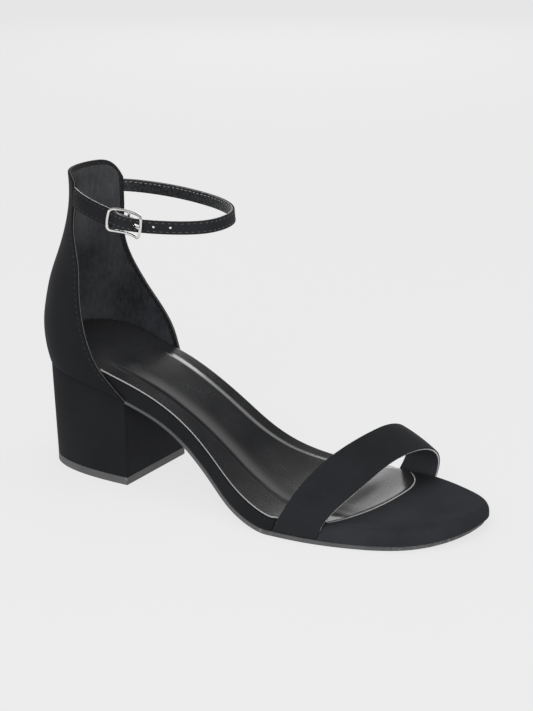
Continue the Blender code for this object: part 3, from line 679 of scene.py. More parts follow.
class Finish:
    """A finish for one material: nodes are added to its shader one by one."""

    def __init__(self, name, **sockets):
        self.material = bpy.data.materials.new(name)
        self.material.use_nodes = True
        self.nodes = self.material.node_tree.nodes
        self.links = self.material.node_tree.links
        self.shader = self.nodes["Principled BSDF"]
        self.coords = self.nodes.new("ShaderNodeTexCoord")
        self.colour = None
        self.relief = None
        for key, value in sockets.items():
            self.feed(value, self.shader.inputs[key.replace("_", " ")])

    def feed(self, value, socket):
        """Links an output to a socket, or sets a plain value on it."""
        if isinstance(value, bpy.types.NodeSocket):
            self.links.new(value, socket)
        else:
            socket.default_value = value

    def add(self, kind, **sockets):
        node = self.nodes.new("ShaderNode" + kind)
        for key, value in sockets.items():
            self.feed(value, node.inputs[key.replace("_", " ")])
        return node

    def maths(self, kind, operation, *values):
        node = self.add(kind)
        node.operation = operation
        for value, socket in zip(values, node.inputs):
            self.feed(value, socket)
        return node.outputs["Value"]

    def mapped(self, scale, kind="Object"):
        return self.add("Mapping", Scale=scale, Vector=self.coords.outputs[kind]).outputs["Vector"]

    def noise(self, scale, detail=3.0, rough=0.55, vector=None):
        vector = vector or self.coords.outputs["Object"]
        node = self.add("TexNoise", Scale=scale, Detail=detail, Roughness=rough, Vector=vector)
        return node.outputs["Fac"]

    def cells(self, scale):
        node = self.add("TexVoronoi", Scale=scale, Vector=self.coords.outputs["Object"])
        return node.outputs["Distance"]

    def span(self, value, low, high, to_low=0.0, to_high=1.0):
        ends = {"From_Min": low, "From_Max": high, "To_Min": to_low, "To_Max": to_high}
        return self.add("MapRange", Value=value, **ends).outputs["Result"]

    def sums(self, first, second, share):
        """First plus second times share."""
        return self.maths("Math", "MULTIPLY_ADD", second, share, first)

    def tint(self, amount, dark, light):
        """Base colour from dark to light by amount. Each is a colour or an earlier tint."""
        node = self.add("Mix")
        node.data_type = "RGBA"
        for key, value in (("A", dark), ("B", light), ("Factor", amount)):
            self.feed(value, node.inputs[key])
        self.colour = node.outputs["Result"]
        self.feed(self.colour, self.shader.inputs["Base Color"])

    def mottle(self, amount, tone, depth):
        """A tone that is darker and lighter by a share of itself."""
        self.tint(amount, grey(tone * (1 - depth)), grey(tone * (1 + depth)))

    def attribute(self, name):
        node = self.add("Attribute")
        node.attribute_name = name
        return node.outputs["Fac"]

    def spot(self, point, radius, scale):
        """1 in a ragged spot on the surface, 0 away from it."""
        away = self.maths("VectorMath", "DISTANCE", self.coords.outputs["Object"], on_shoe(point))
        near = self.span(away, 0.0, radius * MM, 1.0, 0.0)
        return self.maths("Math", "MULTIPLY", near, self.span(self.noise(scale, 4.0), 0.45, 0.6))

    def gloss(self, value, low, high):
        self.feed(self.span(value, 0.3, 0.7, low, high), self.shader.inputs["Roughness"])

    def bump(self, height, strength, depth):
        node = self.add("Bump", Strength=strength, Distance=depth * MM, Height=height)
        if self.relief is not None:
            self.feed(self.relief, node.inputs["Normal"])
        self.relief = node.outputs["Normal"]
        self.feed(self.relief, self.shader.inputs["Normal"])


def grey(value, blue=1.18):
    """A grey with a little more blue than red."""
    return (value, value * lerp(1.0, blue, 0.25), value * blue, 1.0)


def nubuck(name, tone, sheen, shine=0.12, edge=None):
    """Brushed leather: a fine nap with broad strokes, dull, with a soft edge light.

    edge is the tone of a raw line along the free edge, where the piece keeps its margin.
    """
    leather = Finish(name, Sheen_Weight=sheen, Sheen_Roughness=0.45, Specular_IOR_Level=shine)
    stroke = leather.noise(38.0, 4.0)
    nap = leather.noise(1500.0, 5.0, 0.65)
    pile = leather.noise(5200.0, 2.0)
    leather.mottle(leather.span(leather.sums(stroke, nap, 0.8), 0.55, 1.25), tone, 0.3)
    if edge is not None:
        raw = leather.span(leather.attribute("margin"), RAW_EDGE - 0.1, RAW_EDGE + 0.1, 1.0, 0.0)
        leather.tint(raw, leather.colour, grey(edge, 1.0))
    leather.gloss(nap, 0.82, 0.95)
    leather.bump(nap, 0.25, 0.12)
    leather.bump(pile, 0.2, 0.05)
    return leather.material


def smooth_leather(name, tone, low, high, grain):
    """Thin finished leather: a fine pebble grain, broad unevenness and a low shine."""
    leather = Finish(name, Specular_IOR_Level=0.5)
    cloud = leather.noise(55.0, 4.0)
    fine = leather.noise(2600.0, 3.0)
    leather.mottle(leather.span(leather.sums(cloud, fine, 0.6), 0.5, 1.1), tone, 0.25)
    leather.gloss(cloud, low, high)
    leather.bump(leather.cells(1500.0), grain, 0.06)
    leather.bump(fine, grain, 0.04)
    return leather


def satin_with_painted_light(name, tone, painted_light_tone):
    """The sock's satin: finely grained, painted paler where it carries painted highlight and reflection,
    and dull where it is pressed.
    """
    satin = smooth_leather(name, tone, 0.22, 0.3, 0.2)
    # Painted highlight and reflection: the base colour goes pale where the sock's painted light mark is
    # high
    satin.tint(satin.attribute("painted_light"), satin.colour, grey(painted_light_tone, 1.0))
    dulled = satin.span(satin.attribute("pressed"), 0.0, 1.0, 0.5, 0.05)
    satin.feed(dulled, satin.shader.inputs["Specular IOR Level"])
    return satin.material


def bound_lining(name, tone):
    """The counter's lining: mottled leather with the nubuck turned over its edge and sewn down."""
    leather = Finish(name, Specular_IOR_Level=0.45)
    cloud = leather.noise(42.0, 6.0, 0.62)
    fine = leather.noise(1.0, 5.0, 0.7, leather.mapped((620.0, 620.0, 240.0)))
    near = leather.attribute("margin")
    leather.mottle(leather.span(leather.sums(cloud, fine, 0.9), 0.75, 1.15), tone, 0.5)
    turned = leather.span(near, TURNED_EDGE - 0.15, TURNED_EDGE + 0.15, 1.0, 0.0)
    leather.tint(turned, leather.colour, grey(0.0085))
    leather.feed(leather.span(turned, 0.0, 1.0, 0.46, 0.85), leather.shader.inputs["Roughness"])
    leather.bump(turned, 0.7, 0.3)
    leather.bump(leather.cells(1300.0), 0.35, 0.06)
    leather.bump(fine, 0.45, 0.08)
    return leather.material


def creased_lining(name, tone):
    """The strap's lining: the same leather, creased across where the strap has been bent, with painted
    shade in the crease hollows and a painted highlight on their ridges.
    """
    leather = Finish(name, Specular_IOR_Level=0.6)
    crease = leather.noise(1.0, 4.0, 0.7, leather.mapped((95.0, 4.0, 1.0), "UV"))
    cloud = leather.noise(240.0, 4.0)
    # Painted shade and highlight: the colour follows the crease relief, dark in the hollows and light on
    # the ridges
    leather.tint(leather.span(crease, 0.4, 0.64), grey(tone * 0.3), grey(tone * 2.8))
    leather.gloss(cloud, 0.26, 0.42)
    leather.bump(crease, 1.0, 0.5)
    leather.bump(leather.cells(1800.0), 0.3, 0.05)
    return leather.material


def cut_edge(name, tone):
    """Raw fibre at a cut edge, pale and loose."""
    fibre = Finish(name, Specular_IOR_Level=0.3)
    strand = fibre.noise(2400.0, 5.0, 0.7)
    fibre.tint(fibre.span(strand, 0.3, 0.7), grey(tone * 0.7, 1.0), grey(tone * 1.2, 1.0))
    fibre.gloss(strand, 0.7, 0.9)
    fibre.bump(strand, 0.5, 0.1)
    return fibre.material


def moulded_rubber(name, tone, pale_spots):
    """Moulded rubber, fine and dull, paler in the given spots: scuffs, and for the sole a broad painted
    light towards the toe.
    """
    rubber = Finish(name, Specular_IOR_Level=0.4)
    cloud = rubber.noise(70.0, 4.0)
    grit = rubber.noise(1700.0, 4.0, 0.6)
    amount = rubber.span(rubber.sums(cloud, grit, 0.5), 0.5, 1.0, 0.0, 0.35)
    # Each pale spot is a scuff, or on the sole's toe a painted light
    for point, radius in pale_spots:
        amount = rubber.sums(amount, rubber.spot(point, radius, 900.0), 0.9)
    rubber.tint(amount, grey(tone * 0.85, 1.04), grey(tone * 2.4, 1.04))
    rubber.gloss(grit, 0.5, 0.7)
    rubber.bump(grit, 0.3, 0.08)
    return rubber.material


def fibre_board(name):
    board = Finish(name, Specular_IOR_Level=0.2)
    pulp = board.noise(500.0, 6.0, 0.7)
    board.tint(pulp, grey(0.012), grey(0.03))
    board.gloss(pulp, 0.8, 0.95)
    board.bump(pulp, 0.4, 0.1)
    return board.material


def plated_metal(name):
    """Polished plating with a trace of fine scratches."""
    plate = Finish(name, Metallic=1.0)
    worn = plate.noise(220.0, 3.0)
    scratch = plate.noise(1.0, 3.0, 0.6, plate.mapped((400.0, 3200.0, 3200.0)))
    plate.tint(worn, (0.72, 0.71, 0.69, 1.0), (0.86, 0.86, 0.85, 1.0))
    plate.gloss(scratch, 0.1, 0.22)
    plate.bump(scratch, 0.06, 0.02)
    return plate.material


def thread_finish(name, tone):
    """Twisted thread."""
    thread = Finish(name, Specular_IOR_Level=0.4, Sheen_Weight=0.2)
    twist = thread.noise(4200.0, 3.0)
    thread.tint(twist, grey(tone * 0.7, 1.0), grey(tone * 1.3, 1.0))
    thread.gloss(twist, 0.5, 0.7)
    thread.bump(twist, 0.6, 0.05)
    return thread.material


NUBUCK = nubuck("black_nubuck", 0.0112, 0.03)
BAND_NUBUCK = nubuck("band_nubuck", 0.0176, 0.03)
COVER_NUBUCK = nubuck("toe_nubuck", 0.0275, 0.0, 0.06, 0.8)
HEEL_NUBUCK = nubuck("heel_nubuck", 0.0116, 0.02)
LINING = bound_lining("grey_lining", 0.028)
BAND_LINING = smooth_leather("band_lining", 0.05, 0.5, 0.65, 0.4).material
STRAP_LINING = creased_lining("strap_lining", 0.01)
SATIN = satin_with_painted_light("sock_satin", 0.01, 0.075)
PALE_EDGE = cut_edge("pale_cut_edge", 0.75)
GREY_EDGE = cut_edge("grey_cut_edge", 0.2)
SOCK_EDGE = cut_edge("sock_cut_edge", 0.38)
PaleSpot = namedtuple("PaleSpot", "point radius")
BALL_SCUFFS = [PaleSpot((146.0, -45.0, 1.4), 1.6), PaleSpot((152.0, -45.4, 1.0), 1.2)]
# Painted light: a broad pale spot that lightens the sole's rubber towards the toe, where the light falls
TOE_PAINTED_LIGHT = PaleSpot((226.0, -12.0, 3.0), 40.0)
SOLE_RUBBER = moulded_rubber("sole_rubber", 0.07, [*BALL_SCUFFS, TOE_PAINTED_LIGHT])
LIFT_RUBBER = moulded_rubber("lift_rubber", 0.075, [PaleSpot((58.0, -26.6, 3.4), 1.6)])
BOARD_FIBRE = fibre_board("board_fibre")
NICKEL = plated_metal("polished_nickel")
THREAD = thread_finish("dark_thread", 0.02)
GREY_THREAD = thread_finish("grey_thread", 0.085)
PALE_THREAD = thread_finish("worn_thread", 0.32)

# Layers from the outer face inwards: finish, thickness and rounding of the edges
BAND_LAYERS = [Layer(BAND_NUBUCK, 0.6, 0.18), Layer(PALE_EDGE, 0.55, 0.0), Layer(BAND_LINING, 0.35, 0.1)]
COUNTER_LAYERS = [Layer(NUBUCK, 1.05, 0.25), Layer(GREY_EDGE, 0.15, 0.0), Layer(LINING, 0.6, 0.15)]
STRAP_LAYERS = [Layer(BAND_NUBUCK, 0.75, 0.2), Layer(GREY_EDGE, 0.25, 0.0), Layer(STRAP_LINING, 0.6, 0.15)]
TAB_LAYERS = [Layer(NUBUCK, 0.62, 0.0), Layer(PALE_EDGE, 0.3, 0.0), Layer(BAND_LINING, 0.34, 0.0)]


# Sole


def make_outsole():
    toe_end = {s: toe_point(s * CORNER, TOE_INSET)[0] for s in SIDES}
    start = BREAST + GAP

    def trim(x, side):
        return lerp(-OUTSOLE_FLARE, TOE_INSET, ease(x, TREAD_START, toe_end[side]))

    ends = [side_edge(start, side, -OUTSOLE_FLARE) for side in SIDES]
    plan = patch(
        side_run(-1, start, toe_end[-1], trim),
        side_run(1, start, toe_end[1], trim),
        lambda v: np.array((start, lerp(ends[0], ends[1], v))),
        lambda v: toe_point(lerp(-CORNER, CORNER, v), TOE_INSET + TIP_DRAW * 4 * v * (1 - v)),
    )

    def place(u, v, w):
        x, y = plan(u, v)
        return (x, y, lerp(outsole_low(x), outsole_top(x), w))

    outsole = slab("unit_sole", 130, 40, place)
    round_edges(outsole, OUTSOLE_ROUND)
    deliver(outsole, "sole_rubber", "outsole", finish=SOLE_RUBBER)


def make_edge_wrap():
    ends = {s: band_foot(BAND_REAR, s) - 2 * GAP for s in SIDES}
    heel_x = heel_point(CORNER)[0]
    legs = {s: ends[s] - heel_x for s in SIDES}
    arc = 2 * CORNER * (HEEL_CENTRE - HEEL_BACK)
    total = legs[-1] + arc + legs[1]

    def point(u):
        run = u * total
        if run < legs[-1]:
            x = ends[-1] - run
            return np.array((x, side_edge(x, -1)))
        if run > legs[-1] + arc:
            x = heel_x + run - legs[-1] - arc
            return np.array((x, side_edge(x, 1)))
        return heel_point(lerp(-CORNER, CORNER, (run - legs[-1]) / arc))

    def place(u, v):
        x, y = point(u)
        side = math.copysign(1, y)
        if x > WRAP_RAKE_START:
            x -= BAND_RAKE * BOARD * (1 - v) * ease(x, WRAP_RAKE_START, ends[side])
            y = side_edge(x, side)
        return (x, y, lerp(board_low(x), board_top(x) - WRAP_LOW, v))

    strip = skin("edge_strip", 300, 6, place, lambda at: (WRAP_MIDDLE - at.x, -at.y, 0))
    wall(strip, WRAP)
    round_edges(strip, WRAP_ROUND)
    deliver(strip, "nubuck", "edge_wrap", finish=NUBUCK)


def sock_front(angle, margin=0.0):
    side = 1 if angle > 0 else -1
    x = SOCK_CENTRE[0] + (SOCK_TIP - SOCK_CENTRE[0] + margin) * math.cos(angle)
    y = SOCK_CENTRE[1] + (SOCK_REACH[side] + margin) * math.sin(angle)
    return np.array((x, y))


def sock_inset(x, side):
    seat = lerp(-SEAT_FLARE, SOCK_INSET, ease(x, *SEAT_FLARE_RUN))
    return lerp(seat, WRAP + 2 * GAP, ease(x, *SOCK_NARROW[side]))


def sock_corner(side):
    """Angle round the sock's front end where it meets the side of the outline."""
    low, high = 0.0, math.pi / 2
    for _ in range(40):
        middle = (low + high) / 2
        x, y = sock_front(side * middle)
        if abs(y) < abs(side_edge(x, side, sock_inset(x, side))):
            low = middle
        else:
            high = middle
    return side * low


def cushion(x, y):
    """Height of the padding: the cushion inside its margin, and the pad that tips the heel seat."""
    spread = ease(x, *SHOULDER_SPREAD)
    rises = [ease(SOCK_TIP - x, *CUSHION_FRONT), ease(x, *CUSHION_BACK)]
    for side in SIDES:
        start, full = (lerp(a, b, spread) for a, b in zip(SEAT_SHOULDER[side], BALL_SHOULDER[side]))
        if side == 1:
            out = ease(x, *FRONT_SPREAD)
            start, full = lerp(start, FRONT_SHOULDER.start, out), lerp(full, FRONT_SHOULDER.full, out)
        inside = abs(y - side_edge(x, side))
        crowned = full + SHOULDER_CROWN[side]
        rises.append((ease(inside, start, full) + ease(inside, start, crowned)) / 2)
    return CUSHION * math.prod(rises) + SEAT_PAD * (1 - ease(x, *SEAT_PAD_RUN))


def past_crest(x, y):
    """How far inwards a point of the sock lies from the lateral crest of the cushion."""
    full = lerp(SEAT_SHOULDER[-1].full, BALL_SHOULDER[-1].full, ease(x, *SHOULDER_SPREAD))
    return y - side_edge(x, -1) - full


def painted_light(x, y):
    """How much painted light the sock gets: a painted highlight along the lateral crest of the cushion,
    fading inwards, a painted reflection from the ball forwards, and painted light on the shaded heel seat.
    """
    past = past_crest(x, y)
    crest = ease(past, -CREST_EDGE, 0) * (1 - ease(past, 0, CREST_HIGHLIGHT_REACH))
    seat = SEAT_PAINTED_LIGHT * (1 - ease(x, *SEAT_PAINTED_LIGHT_RUN))
    return max(crest * ease(x, *CREST_BACK), BALL_PAINTED_LIGHT * ease(x, *BALL_PAINTED_LIGHT_RUN), seat)


def pressed(x, y):
    """How far the sock is dulled: in the line below the lateral crest and in a strip by the band."""
    past = past_crest(x, y)
    line = ease(past, -PRESS_REACH, -CREST_EDGE) * (1 - ease(past, -CREST_EDGE, 0))
    away = math.hypot((x - BAND_DULL.x) / BAND_DULL.long, (y - BAND_DULL.y) / BAND_DULL.wide)
    strip = 1 - ease(away, DULL_CORE, 1.0)
    return max(line * ease(x, *CREST_BACK) * ease(SOCK_TIP - x, *CUSHION_FRONT), strip)


def make_sock():
    corner = {s: sock_corner(s) for s in SIDES}
    heel_end = heel_point(CORNER, -SEAT_FLARE)[0]
    front_x = {s: sock_front(corner[s])[0] for s in SIDES}
    plan = patch(
        side_run(-1, heel_end, front_x[-1], sock_inset),
        side_run(1, heel_end, front_x[1], sock_inset),
        lambda v: heel_point(lerp(-CORNER, CORNER, v), -SEAT_FLARE),
        lambda v: sock_front(lerp(corner[-1], corner[1], v)),
    )

    def place(u, v, w):
        x, y = plan(u, v)
        return (x, y, board_top(x) + BED + w * (SOCK + cushion(x, y)))

    sock = slab("satin_sock", 190, 76, place)
    sock.data.materials.append(SATIN)
    sock.data.materials.append(SOCK_EDGE)
    round_edges(sock, SOCK_ROUND, segments=2)
    # The first mark is painted highlight and reflection for the satin's colour; the second dulls its shine
    for label, amount in (("painted_light", painted_light), ("pressed", pressed)):
        mark(sock, label, lambda at: amount(*(at / MM - SHIFT)[:2]))
    hidden = on_shoe((SEAT_FLARE_RUN[1], 0.0, 0.0)).x
    for face in sock.data.polygons:
        face.material_index = int(abs(face.normal.z) < SOCK_EDGE_SLOPE and face.center.x > hidden)
    deliver(sock, "satin_sock", "insole_sock")


def make_toe_cover():
    sock_ends = [sock_corner(side) * COVER_REACH for side in SIDES]
    side_share, roll_share = COVER_SIDE_SHARE, COVER_ROLL_SHARE
    top = BED + COVER_TOP

    def roll(v):
        return min((v - side_share) / (roll_share - side_share), 1.0) * math.pi / 2

    def rise(v):
        if v < side_share:
            return lerp(0.0, BOARD + top - COVER_EDGE, v / side_share)
        crown = COVER_CROWN * math.sin(math.pi * (v - side_share) / (1 - side_share))
        return BOARD + top - COVER_EDGE * (1 - math.sin(roll(v))) + crown

    def end_angle(v, side):
        x = band_foot(BAND_FRONT, side) + GAP + BAND_RAKE * (rise(v) - BOARD)
        centre = TOE_CENTRE[side]
        return side * math.acos(((x - centre) / (TIP_X - centre)) ** (TOE_FULLNESS[side] / 2))

    def place(u, v):
        angle = lerp(end_angle(v, -1), end_angle(v, 1), u)
        edge = toe_point(angle)
        if v < side_share:
            x, y = edge
            return (x, y, board_top(x) - BOARD + rise(v))
        inward = toe_point(angle, 1.0) - edge
        x, y = edge + inward * COVER_EDGE * (1 - math.cos(roll(v)))
        if v > roll_share:
            inner = sock_front(lerp(sock_ends[0], sock_ends[1], u), GAP)
            x, y = lerp(np.array((x, y)), inner, (v - roll_share) / (1 - roll_share))
        return (x, y, board_top(x) - BOARD + rise(v))

    def margin(u, v):
        return math.dist(place(u, v), place(u, 1.0))

    cover = skin("toe_skin", 110, 40, place, lambda at: (BALL - at.x, 0, -60), margin)
    cover.data.materials.append(COVER_NUBUCK)
    cover.data.materials.append(PALE_EDGE)
    wall(cover, COVER_TOP, material_offset_rim=1)
    for face in cover.data.polygons:
        x, y, _z = face.center / MM - SHIFT
        if face.material_index and min(abs(y - side_edge(x, side)) for side in SIDES) < COVER_EDGE:
            face.material_index = 0
    round_edges(cover, COVER_ROUND, turn=50.0, segments=2)
    deliver(cover, "nubuck", "toe_cover", crease=50.0)


# Toe band


def band_point(arch, across):
    if across < BAND_SIDE or across > 1 - BAND_SIDE:
        side = -1 if across < 0.5 else 1
        down = 1 - min(across, 1 - across) / BAND_SIDE
        x = band_foot(arch, side) - BAND_RAKE * BOARD * down
        return np.array((x, side_edge(x, side), lerp(board_top(x), board_low(x) + GAP, down)))
    turn = math.pi * (across - BAND_SIDE) / (1 - 2 * BAND_SIDE)
    c, s = math.cos(turn), math.sin(turn)
    x = lerp(arch.lateral_x, arch.medial_x - arch.toe_in, (1 - c) / 2) + arch.bow * s
    lateral = max(c, 0.0) ** 2
    x += arch.toe_in * max(-c, 0.0) ** 2 + arch.swell * 4 * lateral * (1 - lateral)
    edge = [side_edge(band_foot(arch, side), side) for side in SIDES]
    swing = math.copysign(abs(c) ** (2 / arch.power), c)
    y = sum(edge) / 2 - (edge[1] - edge[0]) / 2 * swing + arch.skew * s * s
    return np.array((x, y, BOARD_TREAD + arch.height * s ** (2 / arch.power)))


def make_toe_band():
    def place(u, v):
        arch = Arch(*(lerp(rear, front, v) for rear, front in zip(BAND_REAR, BAND_FRONT)))
        crown = BAND_CROWN * math.sin(math.pi * u) * 4 * v * (1 - v)
        return band_point(arch, u) + np.array(BAND_CROWN_WAY) * crown

    band = laminate("band_upper", 160, 24, place, lambda at: (0, -at.y, -at.z - 10), BAND_LAYERS)
    deliver(band, "nubuck", "toe_band")


# Heel


def heel_plan(back, half, u, v):
    turn = u * math.pi / 2
    reach = math.sin(turn) ** (2 / HEEL_POWER)
    x = BREAST - (BREAST - back) * max(math.cos(turn), 0.0) ** (2 / HEEL_POWER)
    return x, lerp(-half[-1] * reach, half[1] * reach, v)


def make_heel():
    def lift_place(u, v, w):
        x, y = heel_plan(HEEL_BASE_BACK, HEEL_BASE_HALF, max(u, HEEL_FLAT), v)
        return (x, y, LIFT * w)

    def block_place(u, v, w):
        back = lerp(HEEL_BASE_BACK, HEEL_TOP_BACK, w)
        half = {s: lerp(HEEL_BASE_HALF[s], HEEL_TOP_HALF[s], w) for s in SIDES}
        x, y = heel_plan(back, half, max(u, HEEL_FLAT), v)
        return (x, y, lerp(LIFT + GAP, board_low(x) - GAP, w))

    lift = slab("heel_lift", 60, 16, lift_place)
    round_edges(lift, LIFT_ROUND)
    deliver(lift, "lift_rubber", "top_lift", finish=LIFT_RUBBER)
    block = slab("covered_heel", 60, 16, block_place)
    round_edges(block, HEEL_ROUND)
    deliver(block, "nubuck", "heel_block", finish=HEEL_NUBUCK)


# Counter

cup_line = {
    name: table_line(CUP, "z", name)
    for name in ("back", "depth", "half", "lateral_front", "medial_front")
}


def cup_y(x, z):
    back, depth, half = (cup_line[n](z) for n in ("back", "depth", "half"))
    share = min((back + depth - x) / depth, 1.0)
    return half * math.sqrt(max(1 - max(share, 0.0) ** 2, 0.0))


def cup_ring(z):
    """The counter's outer wall at height z: its points and their run from the lateral edge."""
    back, depth, half = (cup_line[n](z) for n in ("back", "depth", "half"))
    centre = back + depth
    ends = {-1: cup_line["lateral_front"](z), 1: cup_line["medial_front"](z)}
    reach = {s: math.acos(min(max((centre - ends[s]) / depth, 0.0), 1.0)) for s in SIDES}
    turns = np.linspace(-reach[-1], reach[1], 61)
    arc = [(centre - depth * math.cos(t), half * math.sin(t)) for t in turns]
    lead = [(ends[-1], arc[0][1])] if ends[-1] > centre else []
    tail = [(ends[1], arc[-1][1])] if ends[1] > centre else []
    points = np.array(lead + arc + tail)
    return points, run_along(points)


def cup_section(z, share):
    points, run = cup_ring(z)
    return [float(np.interp(share * run[-1], run, points[:, axis])) for axis in (0, 1)]


def rim_height(share):
    off = 2 * share - 1
    corner = RIM_CORNER[1 if off > 0 else -1]
    turn = max(abs(off) - corner.start, 0.0) / (1 - corner.start)
    return RIM - corner.drop * turn**corner.power


def cup_foot(share):
    foot = board_low(HEEL_BACK)
    for _ in range(6):
        foot = board_low(cup_section(foot, share)[0])
    return foot


def cup_point(share, z):
    x, y = cup_section(z, share)
    return np.array((x, y, z))


def make_counter():
    feet = {}

    def height(u, v):
        key = round(u, 5)
        if key not in feet:
            feet[key] = cup_foot(u)
        return lerp(feet[key], rim_height(u), v)

    def place(u, v):
        return cup_point(u, height(u, v))

    def margin(u, v):
        z = height(u, v)
        return min(min(u, 1 - u) * cup_ring(z)[1][-1], rim_height(u) - z)

    def inwards(at):
        return (HEEL_CENTRE - at.x, -at.y, 0)

    counter = laminate("counter_upper", 100, 60, place, inwards, COUNTER_LAYERS, margin=margin)
    deliver(counter, "nubuck", "heel_counter")


# Ankle strap, tab and buckle


def strap_route():
    points = []
    for stop in ROUTE:
        y = stop.y
        if abs(y) == 1:
            off = ROOT_GAP if stop.y > 0 else -(COUNTER_WALL + TAB) / 2
            y = stop.y * (cup_y(stop.x, stop.z) + off)
        points.append((stop.x, y, stop.z))
    return np.array(points)


class Route:
    """The strap's route by its length: s is 0 at the buckle and grows towards the front and round."""

    def __init__(self):
        stops = strap_route()
        chord = run_along(stops)
        lines = [spline(chord, stops[:, axis]) for axis in range(3)]
        fine = np.linspace(0, chord[-1], 600)
        self.points = np.array([[line(t) for line in lines] for t in fine])
        run = run_along(self.points)
        self.s = run - float(np.interp(chord[BUCKLE_STOP], fine, run))
        self.start, self.end = self.s[0], self.s[-1]

    def at(self, s):
        """Origin, forward, outward and upward directions at s."""
        behind, origin, ahead = (
            np.array([np.interp(s + step, self.s, self.points[:, axis]) for axis in range(3)])
            for step in (-ROUTE_LOOK, 0.0, ROUTE_LOOK)
        )
        forward = (ahead - behind) / np.linalg.norm(ahead - behind)
        level = np.array((forward[1], -forward[0], 0.0))
        level /= np.linalg.norm(level)
        upright = np.cross(level, forward)
        upright *= math.copysign(1.0, upright[2])
        out = level * math.cos(LEAN) + upright * math.sin(LEAN)
        up = upright * math.cos(LEAN) - level * math.sin(LEAN)
        return origin, forward, out, up


route = Route()
strap_lift = table_line(STRAP_LIFT, "t", "n", end=0.0)


def strap_out(s):
    level = STRAP_LIFT[-1]
    return strap_lift(s) if s < level.t else level.n


def strap_point(s, off, w):
    """A point of the strap: off outwards from its middle, w up from its centre line."""
    origin, _forward, out, up = route.at(s)
    return origin + out * (strap_out(s) + off) + up * w


def hole_punches():
    """The punches for the strap's holes, as one tool."""
    punches = []
    for step in HOLES_FROM_PRONG:
        s = PRONG_HOLE + step * HOLE_PITCH
        origin, forward, out, up = route.at(s)
        slope = (strap_lift(s + 0.5) - strap_lift(s - 0.5)) if step else 0.0
        along = forward + out * slope
        along = along / np.linalg.norm(along)
        stretch = 1.0 if step else PRONG_HOLE_STRETCH
        radius = HOLE_RADIUS if step else PRONG_HOLE_RADIUS
        hands_off()
        bpy.ops.mesh.primitive_cylinder_add(vertices=24, radius=radius * MM, depth=HOLE_DEPTH * MM)
        punch = bpy.context.object
        turn = Matrix(np.column_stack((along * stretch, up, np.cross(along, up))).tolist()).to_4x4()
        punch.data.transform(Matrix.Translation(on_shoe(origin + out * strap_lift(s))) @ turn)
        punches.append(punch)
    tool = unite(punches, "hole_punches")
    face_out()
    return tool


def make_ankle_strap():
    tail = STRAP_LIFT[0].t

    def place(u, v):
        s = lerp(tail, route.end, u)
        rounding = math.sqrt(1 - (1 - min((s - tail) / TAIL_TIP, 1.0)) ** 2)
        half = STRAP_WIDTH / 2 * lerp(TAIL_BLUNT, 1.0, rounding)
        return strap_point(s, STRAP / 2, lerp(-half, half, v))

    def inwards(at):
        return (ANKLE_X - at.x, -at.y, 0)

    strap = laminate("strap_upper", 320, 8, place, inwards, STRAP_LAYERS, hole_punches())
    deliver(strap, "nubuck", "ankle_strap")


fold_run = run_along(TAB_FOLD)
fold_t_line, fold_n_line = (spline(fold_run, column) for column in zip(*TAB_FOLD))
TAB_STRAIGHT = TAB_FOLD[0].t - route.start
TAB_LENGTH = TAB_STRAIGHT + fold_run[-1]


def tab_edge(run):
    """How far the tab reaches above and below the route: wide at its root, narrow round the bar."""
    lead = ease(run, 0, TAB_STRAIGHT)
    taper = ease(run - TAB_STRAIGHT, *TAB_TAPER)
    ends = zip(TAB_ROOT, TAB_FRONT, TAB_LOOP)
    return TabEdge(*(lerp(lerp(root, front, lead), loop, taper) for root, front, loop in ends))


def tab_point(run, off, w):
    """A point of the tab: run from its root, off outwards from its middle, w up."""
    if run < TAB_STRAIGHT:
        s = route.start + run
        n = lerp(TAB / 2, TAB_FOLD[0].n, ease(run, TAB_STRAIGHT - TAB_RISE_RUN, TAB_STRAIGHT))
    else:
        s, n = fold_t_line(run - TAB_STRAIGHT), fold_n_line(run - TAB_STRAIGHT)
    origin, forward, out, up = route.at(s)
    across = up * w
    plumb = forward * across[2] * forward[2] * (1 - ease(run, 0, TAB_ROOT_RUN))
    return origin + out * (n + off) + across + plumb


def slot_cutter():
    """The tool for the slot in the tab, where the prong's loop holds the bar."""
    origin, forward, out, up = route.at(0.0)
    hands_off()
    bpy.ops.mesh.primitive_cube_add(size=1.0)
    cutter = bpy.context.object
    centre = origin + forward * (SLOT_FRONT - SLOT_BACK) / 2 + out * BAR_OUT
    sides = (forward * (SLOT_BACK + SLOT_FRONT), up * SLOT_WIDTH, out * SLOT_DEPTH)
    axes = Matrix((np.column_stack(sides) * MM).tolist()).to_4x4()
    cutter.data.transform(Matrix.Translation(on_shoe(centre)) @ axes)
    face_out()
    return cutter


def make_buckle_tab():
    def place(u, v):
        run = u * TAB_LENGTH
        edge = tab_edge(run)
        return tab_point(run, 0.0, lerp(-edge.drop, edge.rise, v))

    def inwards(_at):
        return -route.at(route.start)[2]

    tab = laminate("tab_upper", 200, 8, place, inwards, TAB_LAYERS, slot_cutter(), rise=TAB / 2)
    deliver(tab, "nubuck", "buckle_tab")


def bent_wire(name, points, radius, closed):
    """A wire bent along the points, made a mesh."""
    curve = bpy.data.curves.new(name, "CURVE")
    curve.dimensions = "3D"
    curve.bevel_depth = radius * MM
    curve.bevel_resolution = 4
    curve.use_fill_caps = True
    line = curve.splines.new("POLY")
    line.points.add(len(points) - 1)
    for target, point in zip(line.points, points):
        target.co = (*on_shoe(point), 1.0)
    line.use_cyclic_u = closed
    piece = bpy.data.objects.new(name, curve)
    bpy.context.scene.collection.objects.link(piece)
    take(piece)
    bpy.ops.object.convert(target="MESH")
    reshape(bpy.ops.mesh.remove_doubles, threshold=WIRE_WELD * MM)
    face_out()
    return bpy.context.object


